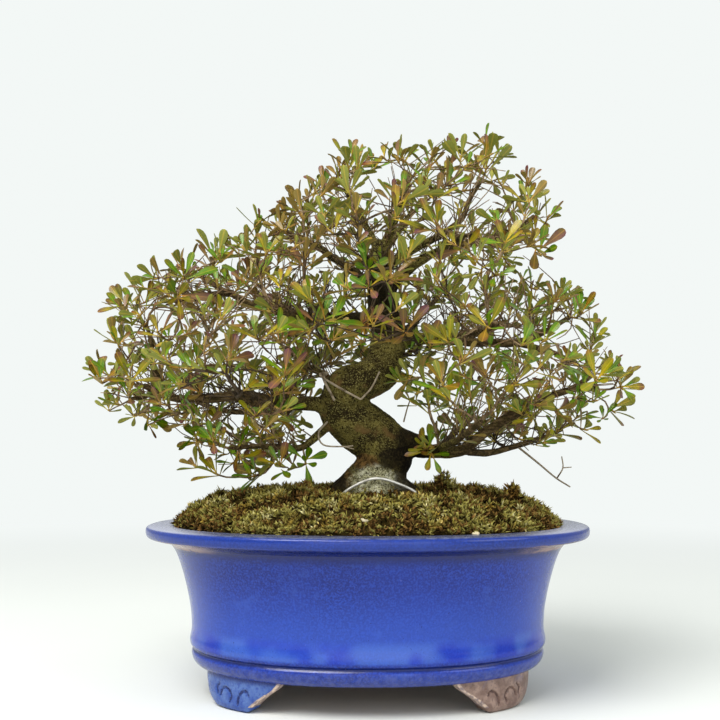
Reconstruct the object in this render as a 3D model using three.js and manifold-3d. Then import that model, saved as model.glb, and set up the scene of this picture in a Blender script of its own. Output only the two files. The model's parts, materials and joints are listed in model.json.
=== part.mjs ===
// Satsuki azalea bonsai in a blue-glazed oval pot. Millimetres, +Z up, the front of the tree towards -Y.
// The origin lies under the middle of the tree and pot, on the surface that the four feet stand on.
// A fired pot holds soil, moss, two drain nets, the wire that ties the tree down, the woody part of
// the tree as one grown piece, and its leafy sprays, each a twig with whorls of blades.

import * as THREE from 'three';
import { mergeVertices } from 'three/addons/utils/BufferGeometryUtils.js';
import Module from 'manifold-3d';

const wasm = await Module();
wasm.setup();

// ---------------------------------------------------------------- driving dimensions

const GAP = 0.3; // between pieces that touch

const POT = {
  halfLength: 131.5, // of the lip, at its outer edge
  depthLess: 27, // every level's half depth is this much less than its half length
  squareness: 2.15, // exponent of the oval; 2 would be an ellipse
  rimTop: 97,
  lipInner: 114, // half length of the opening
  underside: 16.5,
  floorTop: 24,
  segments: 32,
};

// The feet: how far round each quarter they stand and on which oval. Their outlines are [width, height] from
// the foot's middle: steep towards the pot's end, and a long sweep towards the middle of the pot's side.
const FOOT = { place: 0.44, oval: 98.5, thickness: 9, sunkTo: 19, bottomInset: 1.2, insetBelow: 0.5 };
const FOOT_TO_END = [[9, 0], [15, 1], [20, 3], [24, 6], [26.5, 10], [28, 15]];
const FOOT_TO_MIDDLE = [[7, 0], [9.5, 1], [12, 4], [15.5, 7], [20, 10], [25.5, 13.5], [29, 17]];
const DRAIN = { x: 48, radius: 10 };
const NET = { size: 27, thickness: 0.9, holes: 3, hole: 5, pitch: 7.4 };

const MOUND = { height: 19, edge: 97, power: 6, mossThickness: 4.5, relief: 1.7, segments: 32 };
const MOSS_MARGIN = GAP + 0.6; // between the moss and the pot's lip
const WIRE = { radius: 0.8, clearance: 0.45 };
const ROOT_CLEARANCE = 0.45;
const ROOTS = { lobes: 5, depth: 0.1, below: 126, fade: 16, turn: 0.3 }; // ribs that run out into the roots

// The trunk's line and its radius at each point, from the buried stump to the top of the S.
const TRUNK = [
  [5, 0, 84, 17], [5, 0, 103, 29], [5, 0, 114, 28], [6, 0, 122, 20.5], [9, 0, 131, 15.5], [12, 1, 140, 16.5],
  [6, 2, 149, 17.5], [-6, 1, 157, 16.5], [-14, -2, 165, 15], [-16, -5, 173, 14], [-12, -7, 181, 13.5],
  [-3, -6, 186, 13.5], [6, -3, 191, 13], [11, 0, 198, 12], [13, 4, 210, 11], [11, 5, 224, 10], [9, 3, 238, 9],
  [7, 0, 251, 7.5], [8, -4, 263, 6], [9, -6, 270, 4],
];

// Limbs: a line from inside the wood to the tip, the radius at both ends, and where leafy sprays stand on it
// (1 is the tip).
const LIMBS = [
  { name: 'knee', from: 11, to: 5, sprays: [],
    line: [[6, 0, 148], [19, 0, 145], [29, 0, 141], [38, 0, 140]] },
  { name: 'left_low', from: 5.5, to: 1.9, sprays: [0.45, 0.7, 0.87, 1],
    line: [[-8, -1, 168], [-28, -4, 169], [-44, -10, 169], [-59, -14, 171], [-77, -14, 173], [-98, -10, 172],
      [-120, -6, 173], [-136, -4, 180]] },
  { name: 'left_low_tip', from: 1.9, to: 1.2, sprays: [1],
    line: [[-128, -5, 176], [-136, -11, 173], [-141, -18, 171]] },
  { name: 'left_low_rise', from: 2.4, to: 1.3, sprays: [0.6, 1],
    line: [[-119, -6, 173], [-131, 0, 190], [-134, 6, 206], [-138, 10, 218]] },
  { name: 'left_low_back', from: 2.8, to: 1.3, sprays: [0.58, 1],
    line: [[-41, -8, 169], [-59, 12, 166], [-83, 34, 165], [-104, 52, 169], [-120, 66, 176]] },
  { name: 'left_drop', from: 3.2, to: 1.2, sprays: [0.6, 1],
    line: [[-14, -2, 164], [-33, -12, 147], [-42, -16, 142], [-53, -24, 143], [-66, -33, 143],
      [-77, -40, 142]] },
  { name: 'left_front', from: 2.6, to: 1.3, sprays: [0.5, 1],
    line: [[-54, -13, 171], [-57, -36, 168], [-64, -58, 167], [-70, -78, 169]] },
  { name: 'left_mid', from: 4.2, to: 1.5, sprays: [0.62, 1],
    line: [[10, 5, 222], [-6, 0, 222], [-26, -6, 221], [-47, -8, 223], [-69, -6, 229], [-87, -4, 238],
      [-102, -2, 247]] },
  { name: 'left_mid_back', from: 2.6, to: 1.3, sprays: [1],
    line: [[-41, -8, 222], [-55, 18, 234], [-68, 40, 243], [-80, 58, 249]] },
  { name: 'left_mid_far', from: 2.2, to: 1.3, sprays: [1],
    line: [[-84, -4, 237], [-94, -22, 233], [-103, -38, 229], [-108, -52, 224]] },
  { name: 'left_mid_front', from: 2.6, to: 1.3, sprays: [1],
    line: [[-23, -5, 221], [-33, -32, 217], [-41, -57, 215], [-50, -78, 217]] },
  { name: 'left_high', from: 3.6, to: 1.4, sprays: [0.58, 1],
    line: [[9, 3, 237], [-6, 6, 250], [-22, 8, 262], [-39, 8, 272], [-55, 6, 279]] },
  { name: 'right_low', from: 5, to: 1.7, sprays: [0.68, 1],
    line: [[10, 1, 144], [24, 0, 142], [38, 0, 140], [56, -5, 141], [69, -8, 150], [87, -10, 162],
      [107, -8, 172], [126, -6, 178], [138, -4, 178]] },
  { name: 'right_low_under', from: 2.8, to: 1.2, sprays: [0.6, 1],
    line: [[55, -5, 141], [73, 8, 139], [96, 18, 144], [112, 22, 149], [124, 24, 154]] },
  { name: 'right_low_front', from: 2.8, to: 1.3, sprays: [0.55, 1],
    line: [[38, 0, 140], [45, -28, 143], [53, -54, 149], [60, -76, 156]] },
  { name: 'right_low_back', from: 2.8, to: 1.3, sprays: [0.6, 1],
    line: [[43, -1, 140], [51, 30, 146], [62, 57, 155], [75, 80, 165]] },
  { name: 'right_mid', from: 4.4, to: 1.5, sprays: [0.6, 1],
    line: [[12, 4, 211], [29, 0, 210], [50, -5, 208], [70, -8, 206], [91, -8, 206], [108, -6, 213],
      [124, -4, 222]] },
  { name: 'right_mid_back', from: 2.7, to: 1.3, sprays: [0.55, 1],
    line: [[50, -5, 208], [66, 22, 214], [82, 44, 220], [95, 62, 228]] },
  { name: 'right_mid_far', from: 2.2, to: 1.3, sprays: [1],
    line: [[89, -8, 206], [100, -24, 201], [108, -40, 196], [113, -52, 191]] },
  { name: 'right_mid_front', from: 2.7, to: 1.3, sprays: [1],
    line: [[44, -4, 209], [55, -32, 207], [64, -57, 207], [71, -78, 209]] },
  { name: 'right_high', from: 3.6, to: 1.4, sprays: [0.5, 0.78, 1],
    line: [[10, 3, 237], [29, -2, 255], [50, -4, 265], [74, -4, 270], [93, -2, 278], [104, 0, 286]] },
  { name: 'right_high_front', from: 2.4, to: 1.3, sprays: [1],
    line: [[47, -4, 264], [52, -26, 264], [55, -46, 263], [57, -62, 260]] },
  { name: 'top_right', from: 3.2, to: 1.3, sprays: [0.6, 1],
    line: [[8, 0, 251], [26, -6, 263], [46, -8, 273], [58, -8, 282], [63, -6, 295], [70, -4, 306]] },
  { name: 'top', from: 3.2, to: 1.3, sprays: [1],
    line: [[8, -4, 261], [15, -8, 277], [20, -12, 290], [25, -12, 302]] },
  { name: 'top_back', from: 2.6, to: 1.3, sprays: [1],
    line: [[8, -2, 257], [16, 14, 274], [24, 26, 288], [30, 34, 299]] },
  { name: 'top_left', from: 3, to: 1.3, sprays: [0.55, 1],
    line: [[8, -4, 261], [0, 0, 279], [-8, 4, 293], [-14, 4, 304]] },
  { name: 'back_low', from: 3, to: 1.3, sprays: [0.5, 1],
    line: [[5, -5, 187], [14, 24, 196], [20, 54, 208], [16, 80, 220]] },
  { name: 'back_high', from: 3, to: 1.3, sprays: [0.55, 1],
    line: [[9, 3, 237], [7, 30, 252], [2, 55, 268], [-3, 75, 283]] },
  { name: 'back_left', from: 3, to: 1.3, sprays: [0.55, 1],
    line: [[-12, -4, 177], [-25, 24, 187], [-39, 51, 197], [-53, 76, 208]] },
  { name: 'back_right', from: 3, to: 1.3, sprays: [1],
    line: [[12, 4, 206], [27, 32, 220], [42, 57, 237], [54, 76, 253]] },
  { name: 'front_high', from: 2.8, to: 1.3, sprays: [0.6, 1],
    line: [[10, 5, 228], [9, -22, 236], [3, -46, 244], [-4, -68, 250]] },
];

// Twigs that have died back, with no leaves: line and radius at both ends.
const DEAD_TWIGS = [
  { from: 1.3, to: 0.7, line: [[94, 17, 144], [106, 12, 134], [116, 8, 125], [124, 4, 119]] },
  { from: 0.8, to: 0.6, line: [[114, 9, 126], [120, 10, 132], [121, 8, 138]] },
  { from: 1.5, to: 0.7, line: [[-19, -4, 160], [-26, -17, 152], [-22, -22, 144], [-12, -24, 141]] },
  { from: 1.9, to: 1.1, line: [[-22, -8, 180], [-26, -22, 186], [-22, -30, 176], [-14, -34, 168]] },
  { from: 1.6, to: 1, line: [[-16, -12, 182], [-12, -26, 182], [2, -30, 176], [14, -28, 171]] },
];

// The crown's outline from the front, x and z, from its left tip over the top. Towards the front and back
// its sections are smaller copies of it. Leafy tips stand `inset` inside it, so that the blades fill it.
const CROWN = { middle: [0, 205], halfDepth: 118, inset: 10 };
const CROWN_OUTLINE = [
  [-180, 176], [-163, 208], [-160, 234], [-138, 252], [-118, 260], [-92, 275], [-58, 294], [-32, 316],
  [-12, 332], [24, 334], [50, 337], [80, 342], [98, 322], [112, 306], [123, 286], [124, 250], [148, 228],
  [151, 206], [162, 190], [172, 169], [142, 151], [122, 137], [64, 130], [44, 142], [38, 176], [-34, 178],
  [-38, 146], [-52, 121], [-92, 121], [-108, 128], [-122, 147], [-158, 156],
];
const OPEN_FRONT = { left: -38, right: 34, behind: 8, below: 199 }; // the trunk's S shows here

const SPRAY = { shortest: 16, longest: 64, step: 4, twigRadius: 1.3, budRadius: 1.6, joints: 3 };
const LEAD = 0.3; // share of a twig that leaves the wood straight, before it bends
const AHEAD = { tip: 1.2, flank: 0.3 }; // how much a spray heads on as its limb does
const RISE = { tip: 0.2, flank: 0.15 }; // and how much it turns up
const SIDE_SHOOT = { length: 14, forward: 0.35, rise: 0.35 };
const BLADE = { length: 16, spread: 0.32, halfWidth: 2.7, widthSpread: 0.3, thickness: 0.7, arch: 0.012 };
const BLADE_OUTLINE = [[0, 0], [0.64, 1], [1, 0], [0.64, -1]]; // shares of its length and half width
const OPEN = { least: 42, more: 30 }; // degrees between a blade and its shoot
const WHORL = { below: 0.7, step: 0.85, sunk: 0.45, lift: 0.35, uneven: 0.25 }; // the blades on a shoot's end
const WHORL_BLADES = 3; // in the whorl at the end of each shoot
const ROOTS_MEET = 0.5; // cubic mm that two blades of one whorl may share at their roots
const TRIES = 160; // ways out of a limb that are compared for each spray
const FAR_APART = 80; // sprays further apart than this no longer matter to each other
const SEED = 31;

// ---------------------------------------------------------------- small helpers

// Even random numbers from 0 to 1 that are the same on every run.
function seeded(seed) {
  let state = seed >>> 0;
  return () => {
    state = (state + 0x6d2b79f5) >>> 0;
    let mixed = Math.imul(state ^ (state >>> 15), state | 1);
    mixed ^= mixed + Math.imul(mixed ^ (mixed >>> 7), mixed | 61);
    return ((mixed ^ (mixed >>> 14)) >>> 0) / 4294967296;
  };
}

function smooth(points) {
  const vectors = points.map(([x, y, z]) => new THREE.Vector3(x, y, z));
  return new THREE.CatmullRomCurve3(vectors, false, 'catmullrom', 0.5);
}

// A closed geometry as a manifold solid.
function solidOf(geometry) {
  const bare = new THREE.BufferGeometry();
  bare.setAttribute('position', geometry.getAttribute('position').clone());
  bare.setIndex(geometry.getIndex());
  const merged = mergeVertices(bare, 1e-4);
  const index = merged.getIndex().array;
  const triangles = [];
  for (let i = 0; i < index.length; i += 3) {
    const [a, b, c] = [index[i], index[i + 1], index[i + 2]];
    if (a !== b && b !== c && c !== a) triangles.push(a, b, c);
  }
  return new wasm.Manifold(new wasm.Mesh({
    numProp: 3,
    vertProperties: new Float32Array(merged.getAttribute('position').array),
    triVerts: new Uint32Array(triangles),
  }));
}

function geometryOf(solid) {
  const mesh = solid.getMesh();
  const geometry = new THREE.BufferGeometry();
  geometry.setAttribute('position', new THREE.BufferAttribute(new Float32Array(mesh.vertProperties), 3));
  geometry.setIndex(new THREE.BufferAttribute(new Uint32Array(mesh.triVerts), 1));
  geometry.computeVertexNormals();
  return geometry;
}

function joined(solids) {
  return solids.reduce((sum, solid) => sum.add(solid));
}

function moveVertices(geometry, place) {
  const position = geometry.getAttribute('position');
  const vertex = new THREE.Vector3();
  for (let i = 0; i < position.count; i += 1) {
    vertex.fromBufferAttribute(position, i);
    place(vertex);
    position.setXYZ(i, vertex.x, vertex.y, vertex.z);
  }
  return geometry;
}

// A cylinder bent along a line. Its radius depends on how far along (0 to 1) and on the direction round it.
function bentRod(points, radiusAt, sides, stepLength) {
  const curve = smooth(points);
  const steps = Math.max(1, Math.round(curve.getLength() / stepLength));
  const frames = curve.computeFrenetFrames(steps, false);
  const rod = new THREE.CylinderGeometry(1, 1, 1, sides, steps);
  return moveVertices(rod, (vertex) => {
    const step = Math.round((vertex.y + 0.5) * steps);
    const radius = radiusAt(step / steps, Math.atan2(vertex.x, vertex.z));
    const across = vertex.x * radius;
    const up = -vertex.z * radius;
    vertex.copy(curve.getPointAt(step / steps));
    vertex.addScaledVector(frames.normals[step], across).addScaledVector(frames.binormals[step], up);
  });
}

function taper(from, to) {
  return (at) => THREE.MathUtils.lerp(from, to, at);
}

// ---------------------------------------------------------------- pot

// The oval's point in direction `angle`, for a half length and a half depth.
function ovalPoint(angle, halfLength, halfDepth) {
  const power = 2 / POT.squareness;
  const x = Math.sign(Math.cos(angle)) * Math.abs(Math.cos(angle)) ** power;
  const y = Math.sign(Math.sin(angle)) * Math.abs(Math.sin(angle)) ** power;
  return [x * halfLength, y * halfDepth];
}

// Towards the middle the half depth shrinks in proportion instead, so that it never falls below zero.
function halfDepthOf(halfLength) {
  const proportional = 90;
  if (halfLength > proportional) return halfLength - POT.depthLess;
  return halfLength * (proportional - POT.depthLess) / proportional;
}

// Turns a profile of [half length, height] points round the oval.
function ovalBody(profile, segments) {
  const points = profile.map(([halfLength, z]) => new THREE.Vector2(halfLength, z));
  const lathe = new THREE.LatheGeometry(points, segments).rotateX(Math.PI / 2);
  return moveVertices(lathe, (vertex) => {
    const halfLength = Math.hypot(vertex.x, vertex.y);
    const angle = Math.atan2(vertex.y, vertex.x);
    [vertex.x, vertex.y] = ovalPoint(angle, halfLength, halfDepthOf(halfLength));
  });
}

// The inner wall, from the floor up to the opening: half length and height.
const INNER_WALL = [[94, POT.floorTop], [97, 28], [100, 52], [106, 80], [POT.lipInner, 96.2]];

function makePot() {
  const { halfLength, rimTop, lipInner, underside, floorTop } = POT;
  const base = [[0, underside], [95, underside], [99.5, 17.5], [102.3, 19.8], [103.8, 23]];
  const moulding = [[103.9, 25.6], [102.8, 27], [104.4, 28.6], [105, 32], [103.6, 37]];
  const wall = [[104.6, 49], [107.3, 62], [111, 75], [114.8, 84.5], [119.3, 89]];
  const lip = [[halfLength - 3, 90], [halfLength - 0.5, 91.4], [halfLength, 95], [halfLength - 1.2, rimTop]];
  const inside = [[lipInner + 2, rimTop + 0.3], ...[...INNER_WALL].reverse(), [0, floorTop]];
  let pot = solidOf(ovalBody([...base, ...moulding, ...wall, ...lip, ...inside], POT.segments));
  for (const quarter of [0, 1, 2, 3]) pot = pot.add(solidOf(makeFoot(quarter)));
  for (const side of [-1, 1]) {
    const bore = new THREE.CylinderGeometry(DRAIN.radius, DRAIN.radius, 30, 20).rotateX(Math.PI / 2);
    pot = pot.subtract(solidOf(bore.translate(side * DRAIN.x, 0, POT.floorTop)));
  }
  return geometryOf(pot);
}

class Oval extends THREE.Curve {
  constructor(halfLength) {
    super();
    this.halfLength = halfLength;
  }

  getPoint(t, target = new THREE.Vector3()) {
    const [x, y] = ovalPoint(t * 2 * Math.PI, this.halfLength, halfDepthOf(this.halfLength));
    return target.set(x, y, 0);
  }
}

// A foot: a rounded tongue that widens upwards into the base, wrapped round a corner of it.
function makeFoot(quarter) {
  const { thickness, place, sunkTo } = FOOT;
  const toEnd = quarter % 2 ? 1 : -1; // the side of the foot's middle that the pot's end lies on
  const side = (points, sign) => {
    const [widest] = points.at(-1);
    return [...points, [widest, sunkTo], [widest / 2, sunkTo]].map(([u, z]) => [u * sign, z]);
  };
  const [end, middle] = [side(FOOT_TO_END, toEnd), side(FOOT_TO_MIDDLE, -toEnd)];
  const outline = [[0, 0], ...end, [0, sunkTo], ...middle.reverse()];
  const shape = new THREE.Shape(outline.map(([u, z]) => new THREE.Vector2(u, z)));
  const foot = new THREE.ExtrudeGeometry(shape, { depth: thickness, steps: 1, bevelEnabled: false });

  const oval = new Oval(FOOT.oval);
  const round = oval.getLength();
  const along = quarter % 2 ? (quarter + 1) / 4 - place / 4 : quarter / 4 + place / 4;
  return moveVertices(foot, (vertex) => {
    const at = THREE.MathUtils.euclideanModulo(along + vertex.x / round, 1);
    const point = oval.getPointAt(at);
    const tangent = oval.getTangentAt(at);
    const inset = vertex.y < FOOT.insetBelow ? FOOT.bottomInset : 0;
    const outward = vertex.z > 0 ? -inset : inset - thickness;
    vertex.set(point.x + tangent.y * outward, point.y - tangent.x * outward, vertex.y);
  });
}

// ---------------------------------------------------------------- what the pot holds

// Height of the moss mound where `share` runs from 0 at the middle to 1 at the pot's inner edge.
function moundHeight(share) {
  return MOUND.edge + MOUND.height * (1 - share ** MOUND.power);
}

// The moss's underside, as half length and height from the middle outwards.
function mossUnderside() {
  return [0, 0.6, 0.8, 0.91].map((share) => [
    share * (POT.lipInner - MOSS_MARGIN), moundHeight(share) - MOUND.mossThickness]);
}

function makeSoil(holes) {
  const walls = INNER_WALL.slice(0, -1).map(([halfLength, z]) => [halfLength - GAP - 0.1, z + GAP]);
  const top = mossUnderside().map(([halfLength, z]) => [halfLength, z - 4 * GAP]).reverse();
  const body = solidOf(ovalBody([[0, POT.floorTop + GAP], ...walls, ...top], MOUND.segments));
  return geometryOf(joinedCut(body, holes));
}

function joinedCut(body, holes) {
  return holes.reduce((rest, hole) => rest.subtract(hole), body);
}

// The moss's relief at a spot, from -1 in a hollow to 1 on a clump.
function clump(x, y) {
  return 0.6 * Math.sin(x / 5.1) * Math.cos(y / 4.3 + 1) + 0.4 * Math.sin(x / 2.3 + y / 3.1);
}

// Moss: a mat over the soil, with a relief of low clumps on top.
function makeMoss(holes) {
  const edge = POT.lipInner - MOSS_MARGIN;
  const rings = [1, 0.95, 0.87, 0.78, 0.67, 0.55, 0.42, 0.28, 0];
  const top = rings.map((share) => [share * edge, moundHeight(share)]);
  const mat = ovalBody([...mossUnderside(), [edge - 1.2, MOUND.edge - 2.5], ...top], MOUND.segments);
  moveVertices(mat, (vertex) => {
    const share = Math.min(1, Math.hypot(vertex.x / edge, vertex.y / halfDepthOf(edge)));
    const onTop = vertex.z > moundHeight(share) - MOUND.mossThickness / 2;
    if (onTop && share < 0.97) vertex.z += MOUND.relief * clump(vertex.x, vertex.y);
  });
  return geometryOf(joinedCut(solidOf(mat), holes));
}

// A square net over a drain hole: a thin plate with rows of square holes.
function makeNet(side) {
  const z = POT.floorTop + GAP + NET.thickness / 2;
  const block = (size, tall, x, y) => solidOf(new THREE.BoxGeometry(size, size, tall).translate(x, y, z));
  let net = block(NET.size, NET.thickness, side * DRAIN.x, 0);
  for (let row = 0; row < NET.holes; row += 1) {
    for (let column = 0; column < NET.holes; column += 1) {
      const x = (column - (NET.holes - 1) / 2) * NET.pitch;
      const y = (row - (NET.holes - 1) / 2) * NET.pitch;
      net = net.subtract(block(NET.hole, NET.thickness + 2, side * DRAIN.x + x, y));
    }
  }
  return geometryOf(net);
}

function netRecess(side) {
  const size = NET.size + 2 * GAP;
  const depth = NET.thickness + 3 * GAP;
  const z = POT.floorTop + depth / 2;
  return new THREE.BoxGeometry(size, size, depth).translate(side * DRAIN.x, 0, z);
}

// The tie wire: hooked under one drain hole, up through net and soil, over the roots' front and down again.
const WIRE_LINE = [
  [-DRAIN.x + 12, 0, 14.4], [-DRAIN.x + 2.5, 0, 14.6], [-DRAIN.x, 0, 18], [-DRAIN.x, 0, 30], [-39, -10, 70],
  [-29, -20, 98], [-20, -25.5, 110], [-10, -26.5, 119], [4, -25.5, 124.5], [18, -26, 121], [30, -24, 112.5],
  [38, -18, 98], [43, -9, 70], [DRAIN.x, 0, 30], [DRAIN.x, 0, 18], [DRAIN.x - 2.5, 0, 14.6],
  [DRAIN.x - 12, 0, 14.4],
];

function wireRod(radius, sides) {
  return bentRod(WIRE_LINE, () => radius, sides, 11);
}

// ---------------------------------------------------------------- wood

// The trunk is thicker and ribbed towards the ground, where it runs out into the roots. `grow` makes it
// fatter, for the hole that it stands in.
function makeTrunk(grow) {
  const line = TRUNK.map(([x, y, z]) => [x, y, z]);
  const places = [0];
  for (let i = 1; i < TRUNK.length; i += 1) {
    const [before, here] = [line[i - 1], line[i]].map((point) => new THREE.Vector3(...point));
    places.push(places[i - 1] + here.distanceTo(before));
  }
  const radiusAt = (at, angle) => {
    const run = at * places.at(-1);
    const next = Math.max(1, places.findIndex((place) => place >= run - 1e-6));
    const share = (run - places[next - 1]) / (places[next] - places[next - 1]);
    const round = THREE.MathUtils.lerp(TRUNK[next - 1][3], TRUNK[next][3], share);
    const height = THREE.MathUtils.lerp(line[next - 1][2], line[next][2], share);
    const ribbed = THREE.MathUtils.clamp((ROOTS.below - height) / ROOTS.fade, 0, 1) * ROOTS.depth;
    return round * (1 + ribbed * Math.cos(ROOTS.lobes * (angle + ROOTS.turn))) + grow;
  };
  return solidOf(bentRod(line, radiusAt, 14, 10.5));
}

function limbSolid(limb) {
  const sides = limb.from > 3.5 ? 6 : 4;
  return solidOf(bentRod(limb.line, taper(limb.from, limb.to), sides, 20));
}

// ---------------------------------------------------------------- leafy sprays

const UP = new THREE.Vector3(0, 0, 1);

// How far inside the crown's outside a spot lies. Below 0 it is outside.
function depthInCrown(spot) {
  const near = 1 - (spot.y / CROWN.halfDepth) ** 2;
  if (near <= 0) return -1;
  const scale = Math.sqrt(near);
  const middle = new THREE.Vector2(...CROWN.middle);
  const flat = new THREE.Vector2(spot.x, spot.z).sub(middle).divideScalar(scale).add(middle);
  let inside = false;
  let nearest = Infinity;
  CROWN_OUTLINE.forEach((corner, i) => {
    const start = new THREE.Vector2(...corner);
    const side = new THREE.Vector2(...CROWN_OUTLINE[(i + 1) % CROWN_OUTLINE.length]).sub(start);
    const offset = flat.clone().sub(start);
    const share = THREE.MathUtils.clamp(offset.dot(side) / side.lengthSq(), 0, 1);
    nearest = Math.min(nearest, offset.distanceTo(side.clone().multiplyScalar(share)));
    const crosses = (offset.y < 0) !== (offset.y < side.y);
    if (crosses && offset.x < side.x * offset.y / side.y) inside = !inside;
  });
  return inside ? Math.min(nearest * scale, CROWN.halfDepth - Math.abs(spot.y)) : -nearest * scale;
}

function inOpenFront({ x, y, z }) {
  const { left, right, behind, below } = OPEN_FRONT;
  return x > left && x < right && y < behind && z < below;
}

function anyDirection(random) {
  const z = 2 * random() - 1;
  const turn = 2 * Math.PI * random();
  const flat = Math.sqrt(1 - z * z);
  return new THREE.Vector3(flat * Math.cos(turn), flat * Math.sin(turn), z);
}

// How long a twig grows until its leaves reach the crown's outside.
function reach(start, direction) {
  let length = SPRAY.shortest;
  const next = () => start.clone().addScaledVector(direction, length + SPRAY.step);
  while (length < SPRAY.longest && depthInCrown(next()) > CROWN.inset) length += SPRAY.step;
  return length;
}

// A spray's twig and side shoot as lines. The twig leaves the wood along `first` and bends to `direction`.
// The side shoot stands on the last of the twig's joints.
function sprayLines(start, first, direction, twist) {
  const chord = first.clone().multiplyScalar(LEAD).addScaledVector(direction, 1 - LEAD);
  const length = reach(start, chord);
  const bend = start.clone().addScaledVector(first, length * LEAD);
  const end = bend.clone().addScaledVector(direction, length * (1 - LEAD));
  const twig = [start, bend, end];
  const fork = smooth(twig.map((point) => point.toArray())).getPointAt(1 - 1 / SPRAY.joints);
  const aside = new THREE.Vector3(Math.cos(twist), Math.sin(twist), SIDE_SHOOT.rise);
  aside.addScaledVector(direction, -aside.dot(direction)).normalize();
  const sideEnd = fork.clone().addScaledVector(direction, SIDE_SHOOT.length * SIDE_SHOOT.forward)
    .addScaledVector(aside, SIDE_SHOOT.length);
  return { twig, side: [fork, sideEnd] };
}

// One way out of a limb. At the tip the twig carries the limb's line on, elsewhere it stands out sideways.
function wayOut(limb, at, random) {
  const curve = smooth(limb.line);
  const from = curve.getPoint(at);
  const along = curve.getTangent(at).normalize();
  const chance = anyDirection(random);
  const twist = 2 * Math.PI * random();
  if (at === 1) {
    const direction = chance.addScaledVector(along, AHEAD.tip).addScaledVector(UP, RISE.tip).normalize();
    return sprayLines(from.addScaledVector(along, GAP), along, direction, twist);
  }
  const direction = chance.addScaledVector(along, AHEAD.flank).addScaledVector(UP, RISE.flank).normalize();
  const first = direction.clone().addScaledVector(along, -direction.dot(along)).normalize();
  const clear = THREE.MathUtils.lerp(limb.from, limb.to, at) + 2 * GAP;
  return sprayLines(from.addScaledVector(first, clear), first, direction, twist);
}

// Of many seeded ways out of a limb, the one that ends at the crown's outside and furthest from the sprays
// that stand already.
function bestWayOut(limb, at, sprays, tree, random) {
  const ends = sprays.flatMap(({ lines }) => [lines.twig.at(-1), lines.side.at(-1)]);
  const apart = (spot) => Math.min(FAR_APART, ...ends.map((end) => end.distanceTo(spot)));
  let best = null;
  let bestScore = -Infinity;
  for (let i = 0; i < TRIES; i += 1) {
    const lines = wayOut(limb, at, random);
    const [end, sideEnd] = [lines.twig.at(-1), lines.side.at(-1)];
    const off = (spot) => Math.abs(depthInCrown(spot) - CROWN.inset);
    const score = apart(end) - off(end) + (apart(sideEnd) - off(sideEnd)) / 2;
    if (score <= bestScore || inOpenFront(end) || inOpenFront(sideEnd)) continue;
    if (touches(twigSolid(lines, GAP), [tree, ...sprays.map(({ solid }) => solid)])) continue;
    [best, bestScore] = [lines, score];
  }
  return best;
}

// One blade: narrow at its stalk, broadest past the middle, arched down and set along `direction`.
function bladeGeometry(base, direction, face, length, width) {
  const shape = new THREE.Shape(BLADE_OUTLINE.map(([x, y]) => new THREE.Vector2(x * length, y * width)));
  const blade = new THREE.ExtrudeGeometry(shape, { depth: BLADE.thickness, steps: 1, bevelEnabled: false });
  const side = new THREE.Vector3().crossVectors(face, direction);
  const frame = new THREE.Matrix4().makeBasis(direction, side, face).setPosition(base);
  moveVertices(blade, (vertex) => {
    vertex.z -= BLADE.thickness / 2 + BLADE.arch * vertex.x * vertex.x;
  });
  return blade.applyMatrix4(frame);
}

// A whorl: blades spread evenly round the end of a shoot, each a step below the one before, with its root
// sunk into the shoot.
function whorl(line, random) {
  const end = line.at(-1);
  const shoot = end.clone().sub(line.at(-2)).normalize();
  const axis = shoot.clone().addScaledVector(UP, WHORL.lift).normalize();
  const first = new THREE.Vector3(1, 0.3, 0.2).cross(axis).normalize();
  const second = new THREE.Vector3().crossVectors(axis, first);
  const start = random() * 2 * Math.PI;
  const blades = [];
  for (let i = 0; i < WHORL_BLADES; i += 1) {
    const round = start + (i + WHORL.uneven * (random() - 0.5)) * 2 * Math.PI / WHORL_BLADES;
    const open = THREE.MathUtils.degToRad(OPEN.least + OPEN.more * random());
    const radial = first.clone().multiplyScalar(Math.cos(round)).addScaledVector(second, Math.sin(round));
    const direction = axis.clone().multiplyScalar(Math.cos(open)).addScaledVector(radial, Math.sin(open));
    const face = axis.clone().multiplyScalar(Math.sin(open)).addScaledVector(radial, -Math.cos(open));
    const length = BLADE.length * (1 - BLADE.spread / 2 + BLADE.spread * random());
    const width = BLADE.halfWidth * (1 - BLADE.widthSpread / 2 + BLADE.widthSpread * random());
    const base = end.clone().addScaledVector(shoot, -WHORL.below - WHORL.step * i);
    base.addScaledVector(direction, -WHORL.sunk);
    blades.push(solidOf(bladeGeometry(base, direction, face, length, width)));
  }
  return blades;
}

function boxesMeet(one, other, margin) {
  const [a, b] = [one.boundingBox(), other.boundingBox()];
  return [0, 1, 2].every((k) => a.min[k] - margin < b.max[k] && b.min[k] - margin < a.max[k]);
}

function touches(solid, others, allowed = 1e-4) {
  return others.some((other) => boxesMeet(solid, other, 0.2) && solid.intersect(other).volume() > allowed);
}

// The twig and its side shoot as one solid. `grow` makes it fatter, to keep others at a distance.
function twigSolid({ twig, side }, grow = 0) {
  const thickness = taper(SPRAY.twigRadius + grow, SPRAY.budRadius + grow);
  const rod = (line, steps) => {
    const points = line.map((point) => point.toArray());
    return solidOf(bentRod(points, thickness, 3, smooth(points).getLength() / steps));
  };
  return rod(twig, SPRAY.joints).add(rod(side, 1));
}

// ---------------------------------------------------------------- the whole object

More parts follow.
